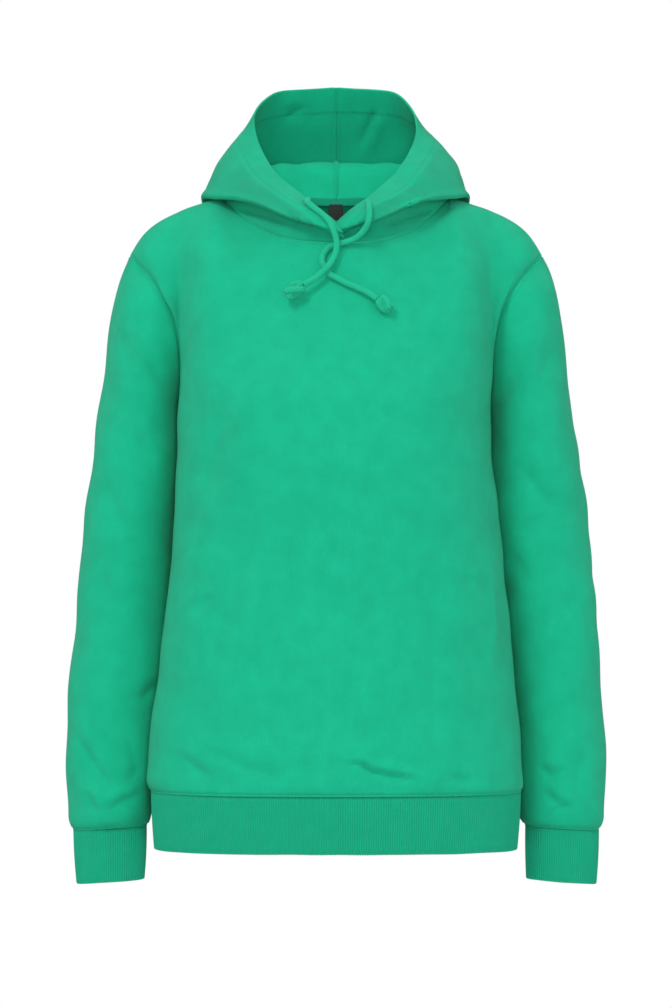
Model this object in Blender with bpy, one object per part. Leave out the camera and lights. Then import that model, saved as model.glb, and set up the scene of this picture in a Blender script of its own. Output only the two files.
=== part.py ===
"""A pullover hoodie in fleece-backed sweatshirt cloth, filled out as if it were worn.

Lengths are in metres. X runs to the wearer's left, Y to the back and Z up. The origin is the
middle of the neck opening, level with the highest points of the shoulders.
Left and right are the wearer's own.
"""

from collections import namedtuple
import math

import bmesh
import bpy
from mathutils import Matrix, Vector
import numpy as np

# Cloth and sewing
CLOTH_WALL = 0.0020
RIB_WALL = 0.0030
TAPE_WALL = 0.0008
SEAM_GAP = 0.0003

# Body
SECTION_SQUARENESS = 2.4
SIDE_SEAM_ANGLE = 100.0
WIDEST_Y = -0.020
HALF_COLUMNS = 12
YOKE_ROWS = 10
NECK_COLUMNS = 7
NECK_CROWDING = 1.5  # draws the neck's columns towards its tight bend at the shoulder
CORNER_ROUNDS = 5  # how far the corner of neck and shoulder is evened out below the top edge
CORNER_POWER = 6

BodySection = namedtuple("BodySection", "height half_width front back")
BODY_SECTIONS = (
    BodySection(-0.5915, 0.1846, -0.1225, 0.1130),
    BodySection(-0.5855, 0.1867, -0.1245, 0.1150),
    BodySection(-0.5650, 0.1862, -0.1255, 0.1160),
    BodySection(-0.5290, 0.1830, -0.1265, 0.1150),
    BodySection(-0.4820, 0.1755, -0.1280, 0.1100),
    BodySection(-0.4450, 0.1710, -0.1295, 0.1050),
    BodySection(-0.4020, 0.1670, -0.1310, 0.1010),
    BodySection(-0.3490, 0.1625, -0.1345, 0.0990),
    BodySection(-0.3020, 0.1597, -0.1385, 0.1010),
    BodySection(-0.2630, 0.1570, -0.1410, 0.1060),
    BodySection(-0.2050, 0.1556, -0.1400, 0.1130),
)
HEM_RIB_SECTIONS = (
    BodySection(-0.6480, 0.1810, -0.1175, 0.1085),
    BodySection(-0.5918, 0.1842, -0.1205, 0.1115),
)

# Neck seam, from centre back round the side to the front overlap
NeckPoint = namedtuple("NeckPoint", "x y z")
NECK = (
    NeckPoint(0.0000, 0.0620, 0.0003),
    NeckPoint(0.0300, 0.0590, 0.0010),
    NeckPoint(0.0600, 0.0490, 0.0020),
    NeckPoint(0.0900, 0.0300, 0.0030),
    NeckPoint(0.1110, 0.0060, 0.0025),
    NeckPoint(0.1094, -0.0150, -0.0059),
    NeckPoint(0.0883, -0.0400, -0.0259),
    NeckPoint(0.0687, -0.0600, -0.0383),
    NeckPoint(0.0493, -0.0740, -0.0450),
    NeckPoint(0.0265, -0.0830, -0.0485),
    NeckPoint(0.0000, -0.0860, -0.0490),
)
NECK_SIDE = 4.0  # the shoulder seam meets the neck at this row
NECK_FRONT = 10.0

# Shoulder seam, from the neck to the shoulder point
ShoulderPoint = namedtuple("ShoulderPoint", "x y z")
SHOULDER = (
    ShoulderPoint(0.1110, 0.0060, 0.0025),
    ShoulderPoint(0.1360, 0.0060, -0.0060),
    ShoulderPoint(0.1630, 0.0060, -0.0160),
    ShoulderPoint(0.1870, 0.0060, -0.0310),
    ShoulderPoint(0.2010, 0.0055, -0.0480),
    ShoulderPoint(0.2060, 0.0050, -0.0570),
)

# Armhole, from the underarm (rise 0) to the shoulder point (rise 1)
ArmholePoint = namedtuple("ArmholePoint", "rise x y z")
ARMHOLE_FRONT = (
    ArmholePoint(0.00, 0.1550, 0.0110, -0.2050),
    ArmholePoint(0.15, 0.1545, -0.0065, -0.1860),
    ArmholePoint(0.30, 0.1552, -0.0215, -0.1550),
    ArmholePoint(0.45, 0.1600, -0.0330, -0.1220),
    ArmholePoint(0.62, 0.1755, -0.0370, -0.0930),
    ArmholePoint(0.80, 0.1905, -0.0220, -0.0740),
    ArmholePoint(0.92, 0.2025, -0.0070, -0.0610),
    ArmholePoint(1.00, 0.2060, 0.0050, -0.0570),
)
CHEST_FOLD = (
    ArmholePoint(0.00, 0.1556, -0.0250, -0.2050),
    ArmholePoint(0.25, 0.1562, -0.0405, -0.1600),
    ArmholePoint(0.45, 0.1625, -0.0480, -0.1200),
    ArmholePoint(0.60, 0.1705, -0.0435, -0.0980),
    ArmholePoint(0.75, 0.1815, -0.0325, -0.0710),
    ArmholePoint(0.90, 0.1960, -0.0130, -0.0500),
    ArmholePoint(1.00, 0.2010, 0.0055, -0.0480),
)
ARMHOLE_BACK = (
    ArmholePoint(0.00, 0.1550, 0.0110, -0.2050),
    ArmholePoint(0.20, 0.1565, 0.0340, -0.1830),
    ArmholePoint(0.45, 0.1650, 0.0540, -0.1400),
    ArmholePoint(0.70, 0.1800, 0.0470, -0.0970),
    ArmholePoint(0.85, 0.1940, 0.0310, -0.0760),
    ArmholePoint(0.93, 0.2030, 0.0170, -0.0620),
    ArmholePoint(1.00, 0.2060, 0.0050, -0.0570),
)

# Sleeve rings below the armhole: the outer and inner points, the middle's y and half the depth
SLEEVE_ROUNDNESS = 2.15
SleeveRing = namedtuple("SleeveRing", "outer_x outer_z inner_x inner_z middle_y half_depth")
SLEEVE_RINGS = (
    SleeveRing(0.2163, -0.0815, 0.1565, -0.2130, 0.0160, 0.0540),
    SleeveRing(0.2240, -0.1150, 0.1560, -0.2270, 0.0225, 0.0600),
    SleeveRing(0.2316, -0.1610, 0.1560, -0.2430, 0.0300, 0.0640),
    SleeveRing(0.2375, -0.2050, 0.1560, -0.2670, 0.0350, 0.0660),
    SleeveRing(0.2430, -0.2400, 0.1560, -0.2920, 0.0370, 0.0650),
    SleeveRing(0.2530, -0.3210, 0.1585, -0.3500, 0.0400, 0.0610),
    SleeveRing(0.2610, -0.4010, 0.1640, -0.4120, 0.0400, 0.0560),
    SleeveRing(0.2670, -0.4670, 0.1710, -0.4680, 0.0390, 0.0520),
    SleeveRing(0.2705, -0.5300, 0.1790, -0.5260, 0.0350, 0.0480),
    SleeveRing(0.2712, -0.5650, 0.1828, -0.5600, 0.0310, 0.0450),
    SleeveRing(0.2693, -0.5920, 0.1840, -0.5880, 0.0260, 0.0430),
    SleeveRing(0.2677, -0.6130, 0.1835, -0.6090, 0.0220, 0.0390),
    SleeveRing(0.2662, -0.6270, 0.1860, -0.6230, 0.0190, 0.0330),
    SleeveRing(0.2642, -0.6325, 0.1893, -0.6280, 0.0180, 0.0280),
)
CUFF_RINGS = (
    SleeveRing(0.2610, -0.6850, 0.1910, -0.6800, 0.0120, 0.0255),
    SleeveRing(0.2637, -0.6328, 0.1898, -0.6283, 0.0180, 0.0275),
)

# Hood: a strip that rises from the neck, rolls out over a ridge, drops into the bag
# and comes up outside to the rim. Facing is the way out, in degrees from the wearer's left,
# and ease is the room that the neck seam needs where it bends.
HoodStation = namedtuple("HoodStation", "facing roll ease ridge bag cheek rim")
HOOD = (
    HoodStation(
        90, 0.0060, 0.0006, (0.0000, 0.0840, 0.0394), (0.0000, 0.1260, -0.1350),
        (0.0000, 0.1660, 0.0100), (0.0000, 0.1200, 0.1200),
    ),
    HoodStation(
        76, 0.0060, 0.0006, (0.0300, 0.0810, 0.0392), (0.0370, 0.1220, -0.1250),
        (0.0420, 0.1600, 0.0120), (0.0370, 0.1150, 0.1175),
    ),
    HoodStation(
        58, 0.0058, 0.0006, (0.0600, 0.0690, 0.0380), (0.0750, 0.1070, -0.0950),
        (0.0850, 0.1360, 0.0200), (0.0632, 0.1000, 0.1120),
    ),
    HoodStation(
        35, 0.0036, 0.0006, (0.0910, 0.0460, 0.0320), (0.1130, 0.0750, -0.0480),
        (0.1140, 0.0940, 0.0300), (0.0800, 0.0720, 0.0930),
    ),
    HoodStation(
        5, 0.0026, 0.0020, (0.1120, 0.0120, 0.0195), (0.1330, 0.0220, -0.0036),
        (0.1220, 0.0440, 0.0340), (0.0825, 0.0520, 0.0770),
    ),
    HoodStation(
        -25, 0.0028, 0.0020, (0.1090, -0.0170, 0.0110), (0.1225, -0.0230, -0.0026),
        (0.1130, 0.0040, 0.0280), (0.0796, 0.0340, 0.0610),
    ),
    HoodStation(
        -45, 0.0032, 0.0014, (0.0900, -0.0410, -0.0030), (0.0970, -0.0500, -0.0060),
        (0.0940, -0.0300, 0.0180), (0.0696, -0.0010, 0.0385),
    ),
    HoodStation(
        -58, 0.0030, 0.0010, (0.0680, -0.0620, -0.0120), (0.0710, -0.0740, -0.0145),
        (0.0720, -0.0560, 0.0060), (0.0538, -0.0320, 0.0180),
    ),
    HoodStation(
        -70, 0.0028, 0.0006, (0.0480, -0.0770, -0.0210), (0.0490, -0.0880, -0.0245),
        (0.0480, -0.0780, -0.0070), (0.0307, -0.0600, -0.0027),
    ),
    HoodStation(
        -80, 0.0024, 0.0006, (0.0270, -0.0870, -0.0280), (0.0290, -0.0980, -0.0305),
        (0.0260, -0.0930, -0.0180), (0.0118, -0.0780, -0.0186),
    ),
    HoodStation(
        -90, 0.0004, 0.0006, (-0.0070, -0.0900, -0.0440), (-0.0060, -0.0930, -0.0400),
        (-0.0030, -0.0910, -0.0340), (-0.0005, -0.0880, -0.0293),
    ),
)
HOOD_FRONT_NECK = (-0.0100, -0.0870, -0.0490)
OVERLAP_STEP = 0.0078  # the under panel sits this far behind the over panel
OVERLAP_BLEND = (0.050, 0.012)
HOOD_COLUMNS = 24
HOOD_STEPS = (2, 2, 2, 2, 2, 2, 3, 3)

# Rib knit
HEM_RIBS = 420
CUFF_RIBS = 85
RIB_RISE = 0.0007
COLUMNS_PER_PLAIN = 10

# Drawcord: the free ends, from the slit in the hood's front to the knot
CORD_DIAMETER = 0.0063
CORD_POINT_STEP = 0.0046
CORD_RIGHT_ROUTE = (
    (-0.0275, -0.0755, -0.0064),
    (-0.0283, -0.0868, -0.0088),
    (-0.0242, -0.0932, -0.0134),
    (-0.0142, -0.0968, -0.0210),
    (-0.0066, -0.0993, -0.0296),
    (-0.0020, -0.1006, -0.0391),
    (0.0005, -0.1006, -0.0485),
    (0.0000, -0.1008, -0.0579),
    (-0.0037, -0.1036, -0.0673),
    (-0.0103, -0.1086, -0.0757),
    (-0.0196, -0.1098, -0.0845),
    (-0.0317, -0.1118, -0.0916),
)
CORD_LEFT_ROUTE = (
    (0.0312, -0.0826, -0.0096),
    (0.0322, -0.0926, -0.0123),
    (0.0327, -0.0996, -0.0207),
    (0.0312, -0.1004, -0.0306),
    (0.0263, -0.0968, -0.0388),
    (0.0187, -0.0930, -0.0453),
    (0.0094, -0.0922, -0.0489),
    (0.0010, -0.0920, -0.0508),
    (-0.0066, -0.0926, -0.0538),
    (-0.0122, -0.0948, -0.0604),
    (-0.0137, -0.0978, -0.0677),
    (-0.0103, -0.1008, -0.0745),
    (-0.0066, -0.1040, -0.0806),
    (0.0010, -0.1068, -0.0850),
    (0.0103, -0.1076, -0.0900),
    (0.0215, -0.1090, -0.0947),
    (0.0318, -0.1108, -0.0997),
    (0.0401, -0.1126, -0.1056),
)
KNOT_RIGHT_HALF_LENGTH = 0.0103
KNOT_LEFT_HALF_LENGTH = 0.0086
KNOT_RADIUS = 0.0068
KNOT_LOBE = 0.0009
KNOT_SIDES = 12
KNOT_ROWS = 7

# Neck tape and label, inside the back neck seam
TAPE_WIDTH = 0.0080
TAPE_INSET = 0.0029
TAPE_LOW = -0.0052
TAPE_LAST_COLUMN = 9
LABEL_WIDTH = 0.0140
LABEL_DROP = 0.0150
LABEL_TOP = -0.0030
LABEL_THICKNESS = 0.0006
LABEL_GAP = 0.0007


def smooth(knots, rows, at):
    """A smooth curve through rows that lie at knots, read at each value of at."""
    knots = np.asarray(knots, float)
    rows = np.asarray(rows, float)
    at = np.asarray(at, float)
    slopes = np.gradient(rows, knots, axis=0)
    first = np.clip(np.searchsorted(knots, at, side="right") - 1, 0, len(knots) - 2)
    span = (knots[first + 1] - knots[first]).reshape((-1,) + (1,) * (rows.ndim - 1))
    t = (at - knots[first]).reshape(span.shape) / span
    ends = (1 + 2 * t) * (1 - t) ** 2 * rows[first] + t * t * (3 - 2 * t) * rows[first + 1]
    bends = t * (1 - t) ** 2 * slopes[first] - t * t * (1 - t) * slopes[first + 1]
    return ends + span * bends


def along(points):
    """The distance from the first point to each point of a polyline."""
    steps = np.linalg.norm(np.diff(np.asarray(points, float), axis=0), axis=1)
    return np.concatenate([[0.0], np.cumsum(steps)])


def ease(value, start, end):
    """0 before start, 1 past end, and a soft change between them."""
    t = np.clip((np.asarray(value, float) - start) / (end - start), 0.0, 1.0)
    return t * t * (3 - 2 * t)


def power(value, exponent):
    return np.sign(value) * np.abs(value) ** exponent


def section_ring(section, degrees):
    """Points of a body section: 0 degrees is centre front, 90 the wearer's left side."""
    angle = np.radians(degrees)
    across = power(np.sin(angle), 2 / SECTION_SQUARENESS)
    deep = power(np.cos(angle), 2 / SECTION_SQUARENESS)
    reach = np.where(deep > 0, WIDEST_Y - section.front, section.back - WIDEST_Y)
    x = section.half_width * across
    y = WIDEST_Y - reach * deep
    return np.stack([x, y, np.full_like(x, section.height)], axis=-1)


def section_at(sections, height):
    heights = [section.height for section in sections]
    return BodySection(*smooth(heights, sections, [height])[0])


def neck_point(station):
    return smooth(range(len(NECK)), NECK, station)


def top_edge(across, neck_share, neck_start, neck_end):
    """The neck seam up to neck_share of the half width, then the shoulder seam."""
    round_neck = 1 - (1 - np.clip(across / neck_share, 0, 1)) ** NECK_CROWDING
    neck = neck_point(neck_start + (neck_end - neck_start) * round_neck)
    lengths = along(SHOULDER)
    out = np.clip((across - neck_share) / (1 - neck_share), 0, 1) * lengths[-1]
    shoulder = smooth(lengths, SHOULDER, out)
    return np.where((across <= neck_share)[:, None], neck, shoulder)


def read_armhole(table, rise):
    return smooth([row.rise for row in table], [row[1:] for row in table], rise)


def yoke_rows(low_row, top_row, across, rises, edge, fold, rounding):
    """Half rows from the underarm level to the neck and shoulder, bent over the shoulder."""
    guides = across[across < 0.80]
    low = smooth(across, low_row, guides)
    top = smooth(across, top_row, guides)
    plain = top.copy()  # the top edge without its corner, which shapes the rows below it
    for _ in range(CORNER_ROUNDS):
        plain[1:-1] = (plain[:-2] + 2 * plain[1:-1] + plain[2:]) / 4
    cornered = top
    bend = rounding(guides)[:, None]
    rows = []
    for rise in rises:
        top = plain + (cornered - plain) * rise**CORNER_POWER
        straight = low + (top - low) * rise
        straight[:, 0] = low[:, 0] + (top[:, 0] - low[:, 0]) * ease(rise, 0.15, 1.0)
        turned = straight.copy()
        turned[:, 1] = low[:, 1] + (top[:, 1] - low[:, 1]) * (1 - math.cos(rise * math.pi / 2))
        turned[:, 2] = low[:, 2] + (top[:, 2] - low[:, 2]) * math.sin(rise * math.pi / 2)
        body = straight + (turned - straight) * bend
        knots = np.append(guides, 1.0)
        line = np.vstack([body, read_armhole(edge, [rise])])
        if fold:
            knots = np.insert(knots, -1, 0.93)
            line = np.insert(line, -1, read_armhole(fold, [rise])[0], axis=0)
        rows.append(smooth(knots, line, across))
    return rows


def mirrored(half_rows, sign):
    """Whole rows from half rows that start at the middle; sign sets the way they run."""
    flip = np.array([-1.0, 1.0, 1.0])
    rows = []
    for half in half_rows:
        other = half[:0:-1] * flip
        rows.append(np.vstack([other, half]) if sign > 0 else np.vstack([half[::-1], other[::-1]]))
    return np.array(rows)


def body_heights():
    levels = (-0.5915, -0.5855, -0.5720, -0.5480, -0.5150, -0.4750, -0.4350, -0.3900)
    return levels + (-0.3450, -0.3020, -0.2630, -0.2300)


def front_points():
    across = np.linspace(0, 1, HALF_COLUMNS + 1)
    angles = across * SIDE_SEAM_ANGLE
    rows = [section_ring(section_at(BODY_SECTIONS, height), angles) for height in body_heights()]
    low = section_ring(BODY_SECTIONS[-1], angles)
    top = top_edge(across, NECK_COLUMNS / HALF_COLUMNS, NECK_FRONT, NECK_SIDE)
    rises = np.linspace(0, 1, YOKE_ROWS + 1)
    rows += yoke_rows(
        low, top, across, rises, ARMHOLE_FRONT, CHEST_FOLD, lambda s: 0.25 + 0.75 * ease(s, 0.2, 0.6)
    )
    rows[-1] = top
    return mirrored(rows, 1)


def back_points():
    across = np.linspace(0, 1, HALF_COLUMNS + 1)
    angles = 180 - across * (180 - SIDE_SEAM_ANGLE)
    rows = [section_ring(section_at(BODY_SECTIONS, height), angles) for height in body_heights()]
    low = section_ring(BODY_SECTIONS[-1], angles)
    top = top_edge(across, NECK_COLUMNS / HALF_COLUMNS, 0.0, NECK_SIDE)
    rises = np.linspace(0, 1, YOKE_ROWS + 1)
    rows += yoke_rows(low, top, across, rises, ARMHOLE_BACK, None, lambda s: 0.8 + 0.2 * ease(s, 0.2, 0.6))
    rows[-1] = top
    return mirrored(rows, -1)


def sleeve_ring(ring, turns):
    """Points of a sleeve ring: turn 0 is outermost, a quarter is the front, a half innermost."""
    angle = np.asarray(turns) * 2 * math.pi
    outward = power(np.cos(angle), 2 / SLEEVE_ROUNDNESS)
    forward = power(np.sin(angle), 2 / SLEEVE_ROUNDNESS)
    x = (ring.outer_x + ring.inner_x) / 2 + (ring.outer_x - ring.inner_x) / 2 * outward
    z = (ring.outer_z + ring.inner_z) / 2 + (ring.outer_z - ring.inner_z) / 2 * outward
    y = ring.middle_y - ring.half_depth * forward
    return np.stack([x, y, z], axis=-1)


def armhole_ring(turns):
    turns = np.asarray(turns)
    front = read_armhole(ARMHOLE_FRONT, np.clip(1 - 2 * turns, 0, 1))
    back = read_armhole(ARMHOLE_BACK, np.clip(2 * turns - 1, 0, 1))
    return np.where((turns <= 0.5)[:, None], front, back)


def sleeve_points(rows_between=1):
    turns = np.linspace(0, 1, 2 * YOKE_ROWS + 1)
    rings = [armhole_ring(turns)] + [sleeve_ring(ring, turns) for ring in SLEEVE_RINGS]
    rings = np.array(rings)
    middle = rings[:, :-1].mean(axis=1)
    knots = along(middle)
    at = np.interp(np.arange((len(rings) - 1) * rows_between + 1) / rows_between, range(len(rings)), knots)
    return smooth(knots, rings, at)


def hood_profile(station, neck):
    """The corner points of the hood's strip at one station, from the neck to the rim."""
    facing = math.radians(station.facing)
    out = np.array([math.cos(facing), math.sin(facing), 0.0]) * station.roll
    up = np.array([0.0, 0.0, station.roll])
    ridge = np.array(station.ridge)
    bag = np.array(station.bag)
    turns = [ridge - out - up, ridge, ridge + out - up, bag - out + up, bag, bag + out + up]
    return np.array([neck] + turns + [station.cheek, station.rim])


def hood_points(over):
    """The hood's half on the wearer's left; the under half steps back where the fronts lap."""
    neck = np.array(NECK)
    neck[-1] = HOOD_FRONT_NECK
    steps = []
    for corner, count in enumerate(HOOD_STEPS):
        steps += [corner + step / count for step in range(count)]
    steps.append(len(HOOD_STEPS))
    lines = []
    for station, start in zip(HOOD, neck):
        profile = hood_profile(station, start + np.array([0, 0, station.ease]))
        knots = along(profile)
        lines.append(smooth(knots, profile, np.interp(steps, range(len(profile)), knots)))
    stations = np.linspace(0, len(HOOD) - 1, HOOD_COLUMNS + 1)
    points = smooth(range(len(HOOD)), lines, stations)
    if not over:
        near_front = ease(points[..., 0], *OVERLAP_BLEND) * (points[..., 1] < 0)
        above_seam = 0.6 + 0.4 * ease(np.arange(len(steps)), 0, HOOD_STEPS[0])
        points[..., 1] += OVERLAP_STEP * near_front * above_seam
    return points.transpose(1, 0, 2)


def material(name, colour, roughness):
    made = bpy.data.materials.new(name)
    made.use_nodes = True
    shader = made.node_tree.nodes["Principled BSDF"]
    shader.inputs["Base Color"].default_value = (*colour, 1.0)
    shader.inputs["Roughness"].default_value = roughness
    shader.inputs["Metallic"].default_value = 0.0
    return made


def add_object(name, data, surface):
    data.materials.append(surface)
    made = bpy.data.objects.new(name, data)
    hoodie.objects.link(made)
    return made


EVERY_EDGE = ("bottom", "top", "left", "right")


def seam_key(point):
    return tuple(np.round(point, 6) + 0.0)


def shared_normals(grids):
    """The way out of the cloth at each point of each grid, one way for all that meet at a seam."""
    total = {}
    for points in grids:
        across = points[1:, 1:] - points[:-1, :-1]
        back = points[1:, :-1] - points[:-1, 1:]
        faces = np.cross(across, back)
        for row, column in np.ndindex(faces.shape[:2]):
            for corner in ((row, column), (row, column + 1), (row + 1, column), (row + 1, column + 1)):
                key = seam_key(points[corner])
                total[key] = total.get(key, 0.0) + faces[row, column]
    normals = []
    for points in grids:
        summed = np.array([[total[seam_key(point)] for point in row] for row in points])
        normals.append(summed / np.linalg.norm(summed, axis=-1, keepdims=True))
    return normals


def shell(name, points, normals, surface, closed=False, trims=EVERY_EDGE, wall=CLOTH_WALL):
    """A cloth piece laid on rows of points: an outer skin, an inner skin and the cut edges.

    The cut edges lie along the shared normals, so that pieces meet squarely at their seams.
    """
    outer = points.copy()
    inner = points - normals * wall
    edges = {"bottom": (0, 1, 0), "top": (-1, -2, 0), "left": (0, 1, 1), "right": (-1, -2, 1)}
    for trim in trims:
        edge, beside, axis = edges[trim]
        outer_lines, inner_lines = np.moveaxis(outer, axis, 0), np.moveaxis(inner, axis, 0)
        inward = outer_lines[beside] - outer_lines[edge]
        step = inward / np.linalg.norm(inward, axis=-1, keepdims=True) * SEAM_GAP / 2
        outer_lines[edge] += step
        inner_lines[edge] += step
    rows, columns = points.shape[:2]
    last = columns - 1
    cloth = bmesh.new()
    skins = []
    for skin in (outer, inner):
        verts = [[cloth.verts.new(point) for point in row[: last if closed else columns]] for row in skin]
        skins.append([row + row[:1] if closed else row for row in verts])
    outside, inside = skins

    def triangle(first, second, third):
        cloth.faces.new([outside[row][column] for row, column in (first, second, third)])
        cloth.faces.new([inside[row][column] for row, column in (third, second, first)])

    for row in range(rows - 1):
        for column in range(last):
            a, b = (row, column), (row, column + 1)
            c, d = (row + 1, column + 1), (row + 1, column)
            if np.linalg.norm(points[a] - points[c]) <= np.linalg.norm(points[b] - points[d]):
                triangle(a, b, c)
                triangle(a, c, d)
            else:
                triangle(a, b, d)
                triangle(b, c, d)

    def cut_edge(places):
        for a, b in zip(places, places[1:]):
            (out_a, in_a), (out_b, in_b) = [(skin_out[p[0]][p[1]], skin_in[p[0]][p[1]]) for p in (a, b)]
            if seam_key(points[a]) < seam_key(points[b]):
                cloth.faces.new((out_b, out_a, in_b))
                cloth.faces.new((out_a, in_a, in_b))
            else:
                cloth.faces.new((out_b, out_a, in_a))
                cloth.faces.new((out_b, in_a, in_b))

    skin_out, skin_in = outside, inside
    cut_edge([(0, column) for column in range(columns)])
    cut_edge([(rows - 1, column) for column in reversed(range(columns))])
    if not closed:
        cut_edge([(row, last) for row in range(rows)])
        cut_edge([(row, 0) for row in reversed(range(rows))])
    mesh = bpy.data.meshes.new(name)
    cloth.to_mesh(mesh)
    cloth.free()
    mesh.shade_smooth()
    return add_object(name, mesh, surface)


def ribbed_band(name, low_ring, high_ring, ribs, surface):
    """A tube of rib knit: fine upright ribs outside, plain inside."""
    columns = 2 * ribs
    turns = np.arange(columns) / columns
    bands = []
    for ring in (low_ring, high_ring):
        line = ring(turns)
        tangent = np.roll(line, -1, axis=0) - np.roll(line, 1, axis=0)
        outward = np.cross(tangent, (0.0, 0.0, 1.0))
        outward /= np.linalg.norm(outward, axis=1, keepdims=True)
        if (outward * (line - line.mean(axis=0))).sum() < 0:
            outward = -outward
        groove = np.where(np.arange(columns) % 2, RIB_RISE, 0.0)[:, None]
        bands.append((line - outward * groove, (line - outward * RIB_WALL)[::COLUMNS_PER_PLAIN]))
    band = bmesh.new()
    (low_out, low_in), (high_out, high_in) = [
        [[band.verts.new(point) for point in line] for line in pair] for pair in bands
    ]
    for here in range(columns):
        after = (here + 1) % columns
        band.faces.new((low_out[here], low_out[after], high_out[after], high_out[here]))
    plain = len(low_in)
    for here in range(plain):
        after = (here + 1) % plain
        band.faces.new((low_in[after], low_in[here], high_in[here], high_in[after]))
        for outside, inside in ((low_out, low_in), (high_out, high_in)):
            first = here * COLUMNS_PER_PLAIN
            half = first + COLUMNS_PER_PLAIN // 2
            for step in range(first, first + COLUMNS_PER_PLAIN):
                corner = inside[here] if step < half else inside[after]
                band.faces.new((outside[step], outside[(step + 1) % columns], corner))
            band.faces.new((inside[here], outside[half], inside[after]))
    bmesh.ops.recalc_face_normals(band, faces=band.faces)
    mesh = bpy.data.meshes.new(name)
    band.to_mesh(mesh)
    band.free()
    return add_object(name, mesh, surface)


def cord(name, route, surface):
    """A round cord along a smooth curve through its route. Returns its last point and direction."""
    knots = along(route)
    count = round(knots[-1] / CORD_POINT_STEP)
    path = smooth(knots, route, np.linspace(0, knots[-1], count + 1))
    curve = bpy.data.curves.new(name, "CURVE")
    curve.dimensions = "3D"
    curve.bevel_depth = CORD_DIAMETER / 2
    curve.bevel_resolution = 2
    curve.use_fill_caps = True
    spline = curve.splines.new("POLY")
    spline.points.add(count)
    for point, place in zip(spline.points, path):
        point.co = (*place, 1.0)
    add_object(name, curve, surface)
    end = path[-1] - path[-2]
    return path[-1], end / np.linalg.norm(end)


def knot(name, start, direction, half_length, surface):
    """A tight overhand knot: a barrel with three lobes that turn round it."""
    bm = bmesh.new()
    bmesh.ops.create_uvsphere(bm, u_segments=KNOT_SIDES, v_segments=KNOT_ROWS, radius=1.0)
    for vert in bm.verts:
        turn = math.atan2(vert.co.y, vert.co.x)
        lobe = KNOT_LOBE * math.cos(3 * turn + 2.2 * vert.co.z)
        round_it = math.hypot(vert.co.x, vert.co.y) ** 0.75
        reach = round_it * (KNOT_RADIUS + lobe)
        vert.co = Vector((math.cos(turn) * reach, math.sin(turn) * reach, vert.co.z * half_length))
    middle = start + direction * (half_length + SEAM_GAP)
    turned = Vector(direction).to_track_quat("Z", "Y").to_matrix().to_4x4()
    mesh = bpy.data.meshes.new(name)
    bm.to_mesh(mesh)
    bm.free()
    made = add_object(name, mesh, surface)
    made.matrix_world = Matrix.Translation(middle) @ turned
    mesh.shade_smooth()


def neck_tape(surface):
    """A strip that covers the back neck seam on the inside."""
    stations = np.linspace(0, len(HOOD) - 1, HOOD_COLUMNS + 1)[: TAPE_LAST_COLUMN + 1]
    half = neck_point(stations)
    line = mirrored([half], 1)[0]
    tangent = np.gradient(line, axis=0)
    outward = np.cross((0.0, 0.0, 1.0), tangent)
    outward /= np.linalg.norm(outward, axis=1, keepdims=True)
    low = line - outward * TAPE_INSET + np.array([0, 0, TAPE_LOW])
    grid = np.array([low, low + np.array([0, 0, TAPE_WIDTH])])
    shell("neck_tape", grid[:, ::-1], np.array([outward, outward])[:, ::-1], surface, wall=TAPE_WALL)


def neck_label(surface):
    """A small blank label that hangs from the tape at centre back."""
    bm = bmesh.new()
    bmesh.ops.create_cube(bm, size=1.0)
    front = NECK[0].y - TAPE_INSET - TAPE_WALL - LABEL_GAP
    bmesh.ops.scale(bm, vec=(LABEL_WIDTH, LABEL_THICKNESS, LABEL_DROP), verts=bm.verts)
    mesh = bpy.data.meshes.new("neck_label")
    bm.to_mesh(mesh)
    bm.free()
    made = add_object("neck_label", mesh, surface)
    made.location = (0.0, front - LABEL_THICKNESS / 2, LABEL_TOP - LABEL_DROP / 2)


for old in list(bpy.data.objects):
    bpy.data.objects.remove(old, do_unlink=True)
hoodie = bpy.data.collections.new("pullover_hoodie")
bpy.context.scene.collection.children.link(hoodie)

fleece = material("green sweatshirt fleece", (0.015, 0.42, 0.24), 0.9)
rib_knit = material("green rib knit", (0.014, 0.35, 0.20), 0.9)
braid = material("green cotton braid", (0.018, 0.45, 0.27), 0.8)

to_right = np.array([-1.0, 1.0, 1.0])
sleeve = sleeve_points()
cloth_grids = {
    "front_body": front_points(),
    "back_body": back_points(),
    "sleeve_left": sleeve,
    "sleeve_right": (sleeve * to_right)[:, ::-1],
    "hood_left": hood_points(over=False)[:, ::-1],
    "hood_right": hood_points(over=True) * to_right,
}
trimmed = {
    "sleeve_left": ("bottom", "top"),
    "sleeve_right": ("bottom", "top"),
    "hood_left": ("right",),
    "hood_right": ("left",),
}
for (name, grid), normals in zip(cloth_grids.items(), shared_normals(list(cloth_grids.values()))):
    shell(name, grid, normals, fleece, name.startswith("sleeve"), trimmed.get(name, EVERY_EDGE))

low, high = HEM_RIB_SECTIONS
ribbed_band(
    "hem_rib",
    lambda turns: section_ring(low, turns * 360),
    lambda turns: section_ring(high, turns * 360),
    HEM_RIBS,
    rib_knit,
)
for side, way in (("left", np.ones(3)), ("right", to_right)):
    ribbed_band(
        "cuff_" + side,
        lambda turns, way=way: sleeve_ring(CUFF_RINGS[0], turns) * way,
        lambda turns, way=way: sleeve_ring(CUFF_RINGS[1], turns) * way,
        CUFF_RIBS,
        rib_knit,
    )

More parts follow.
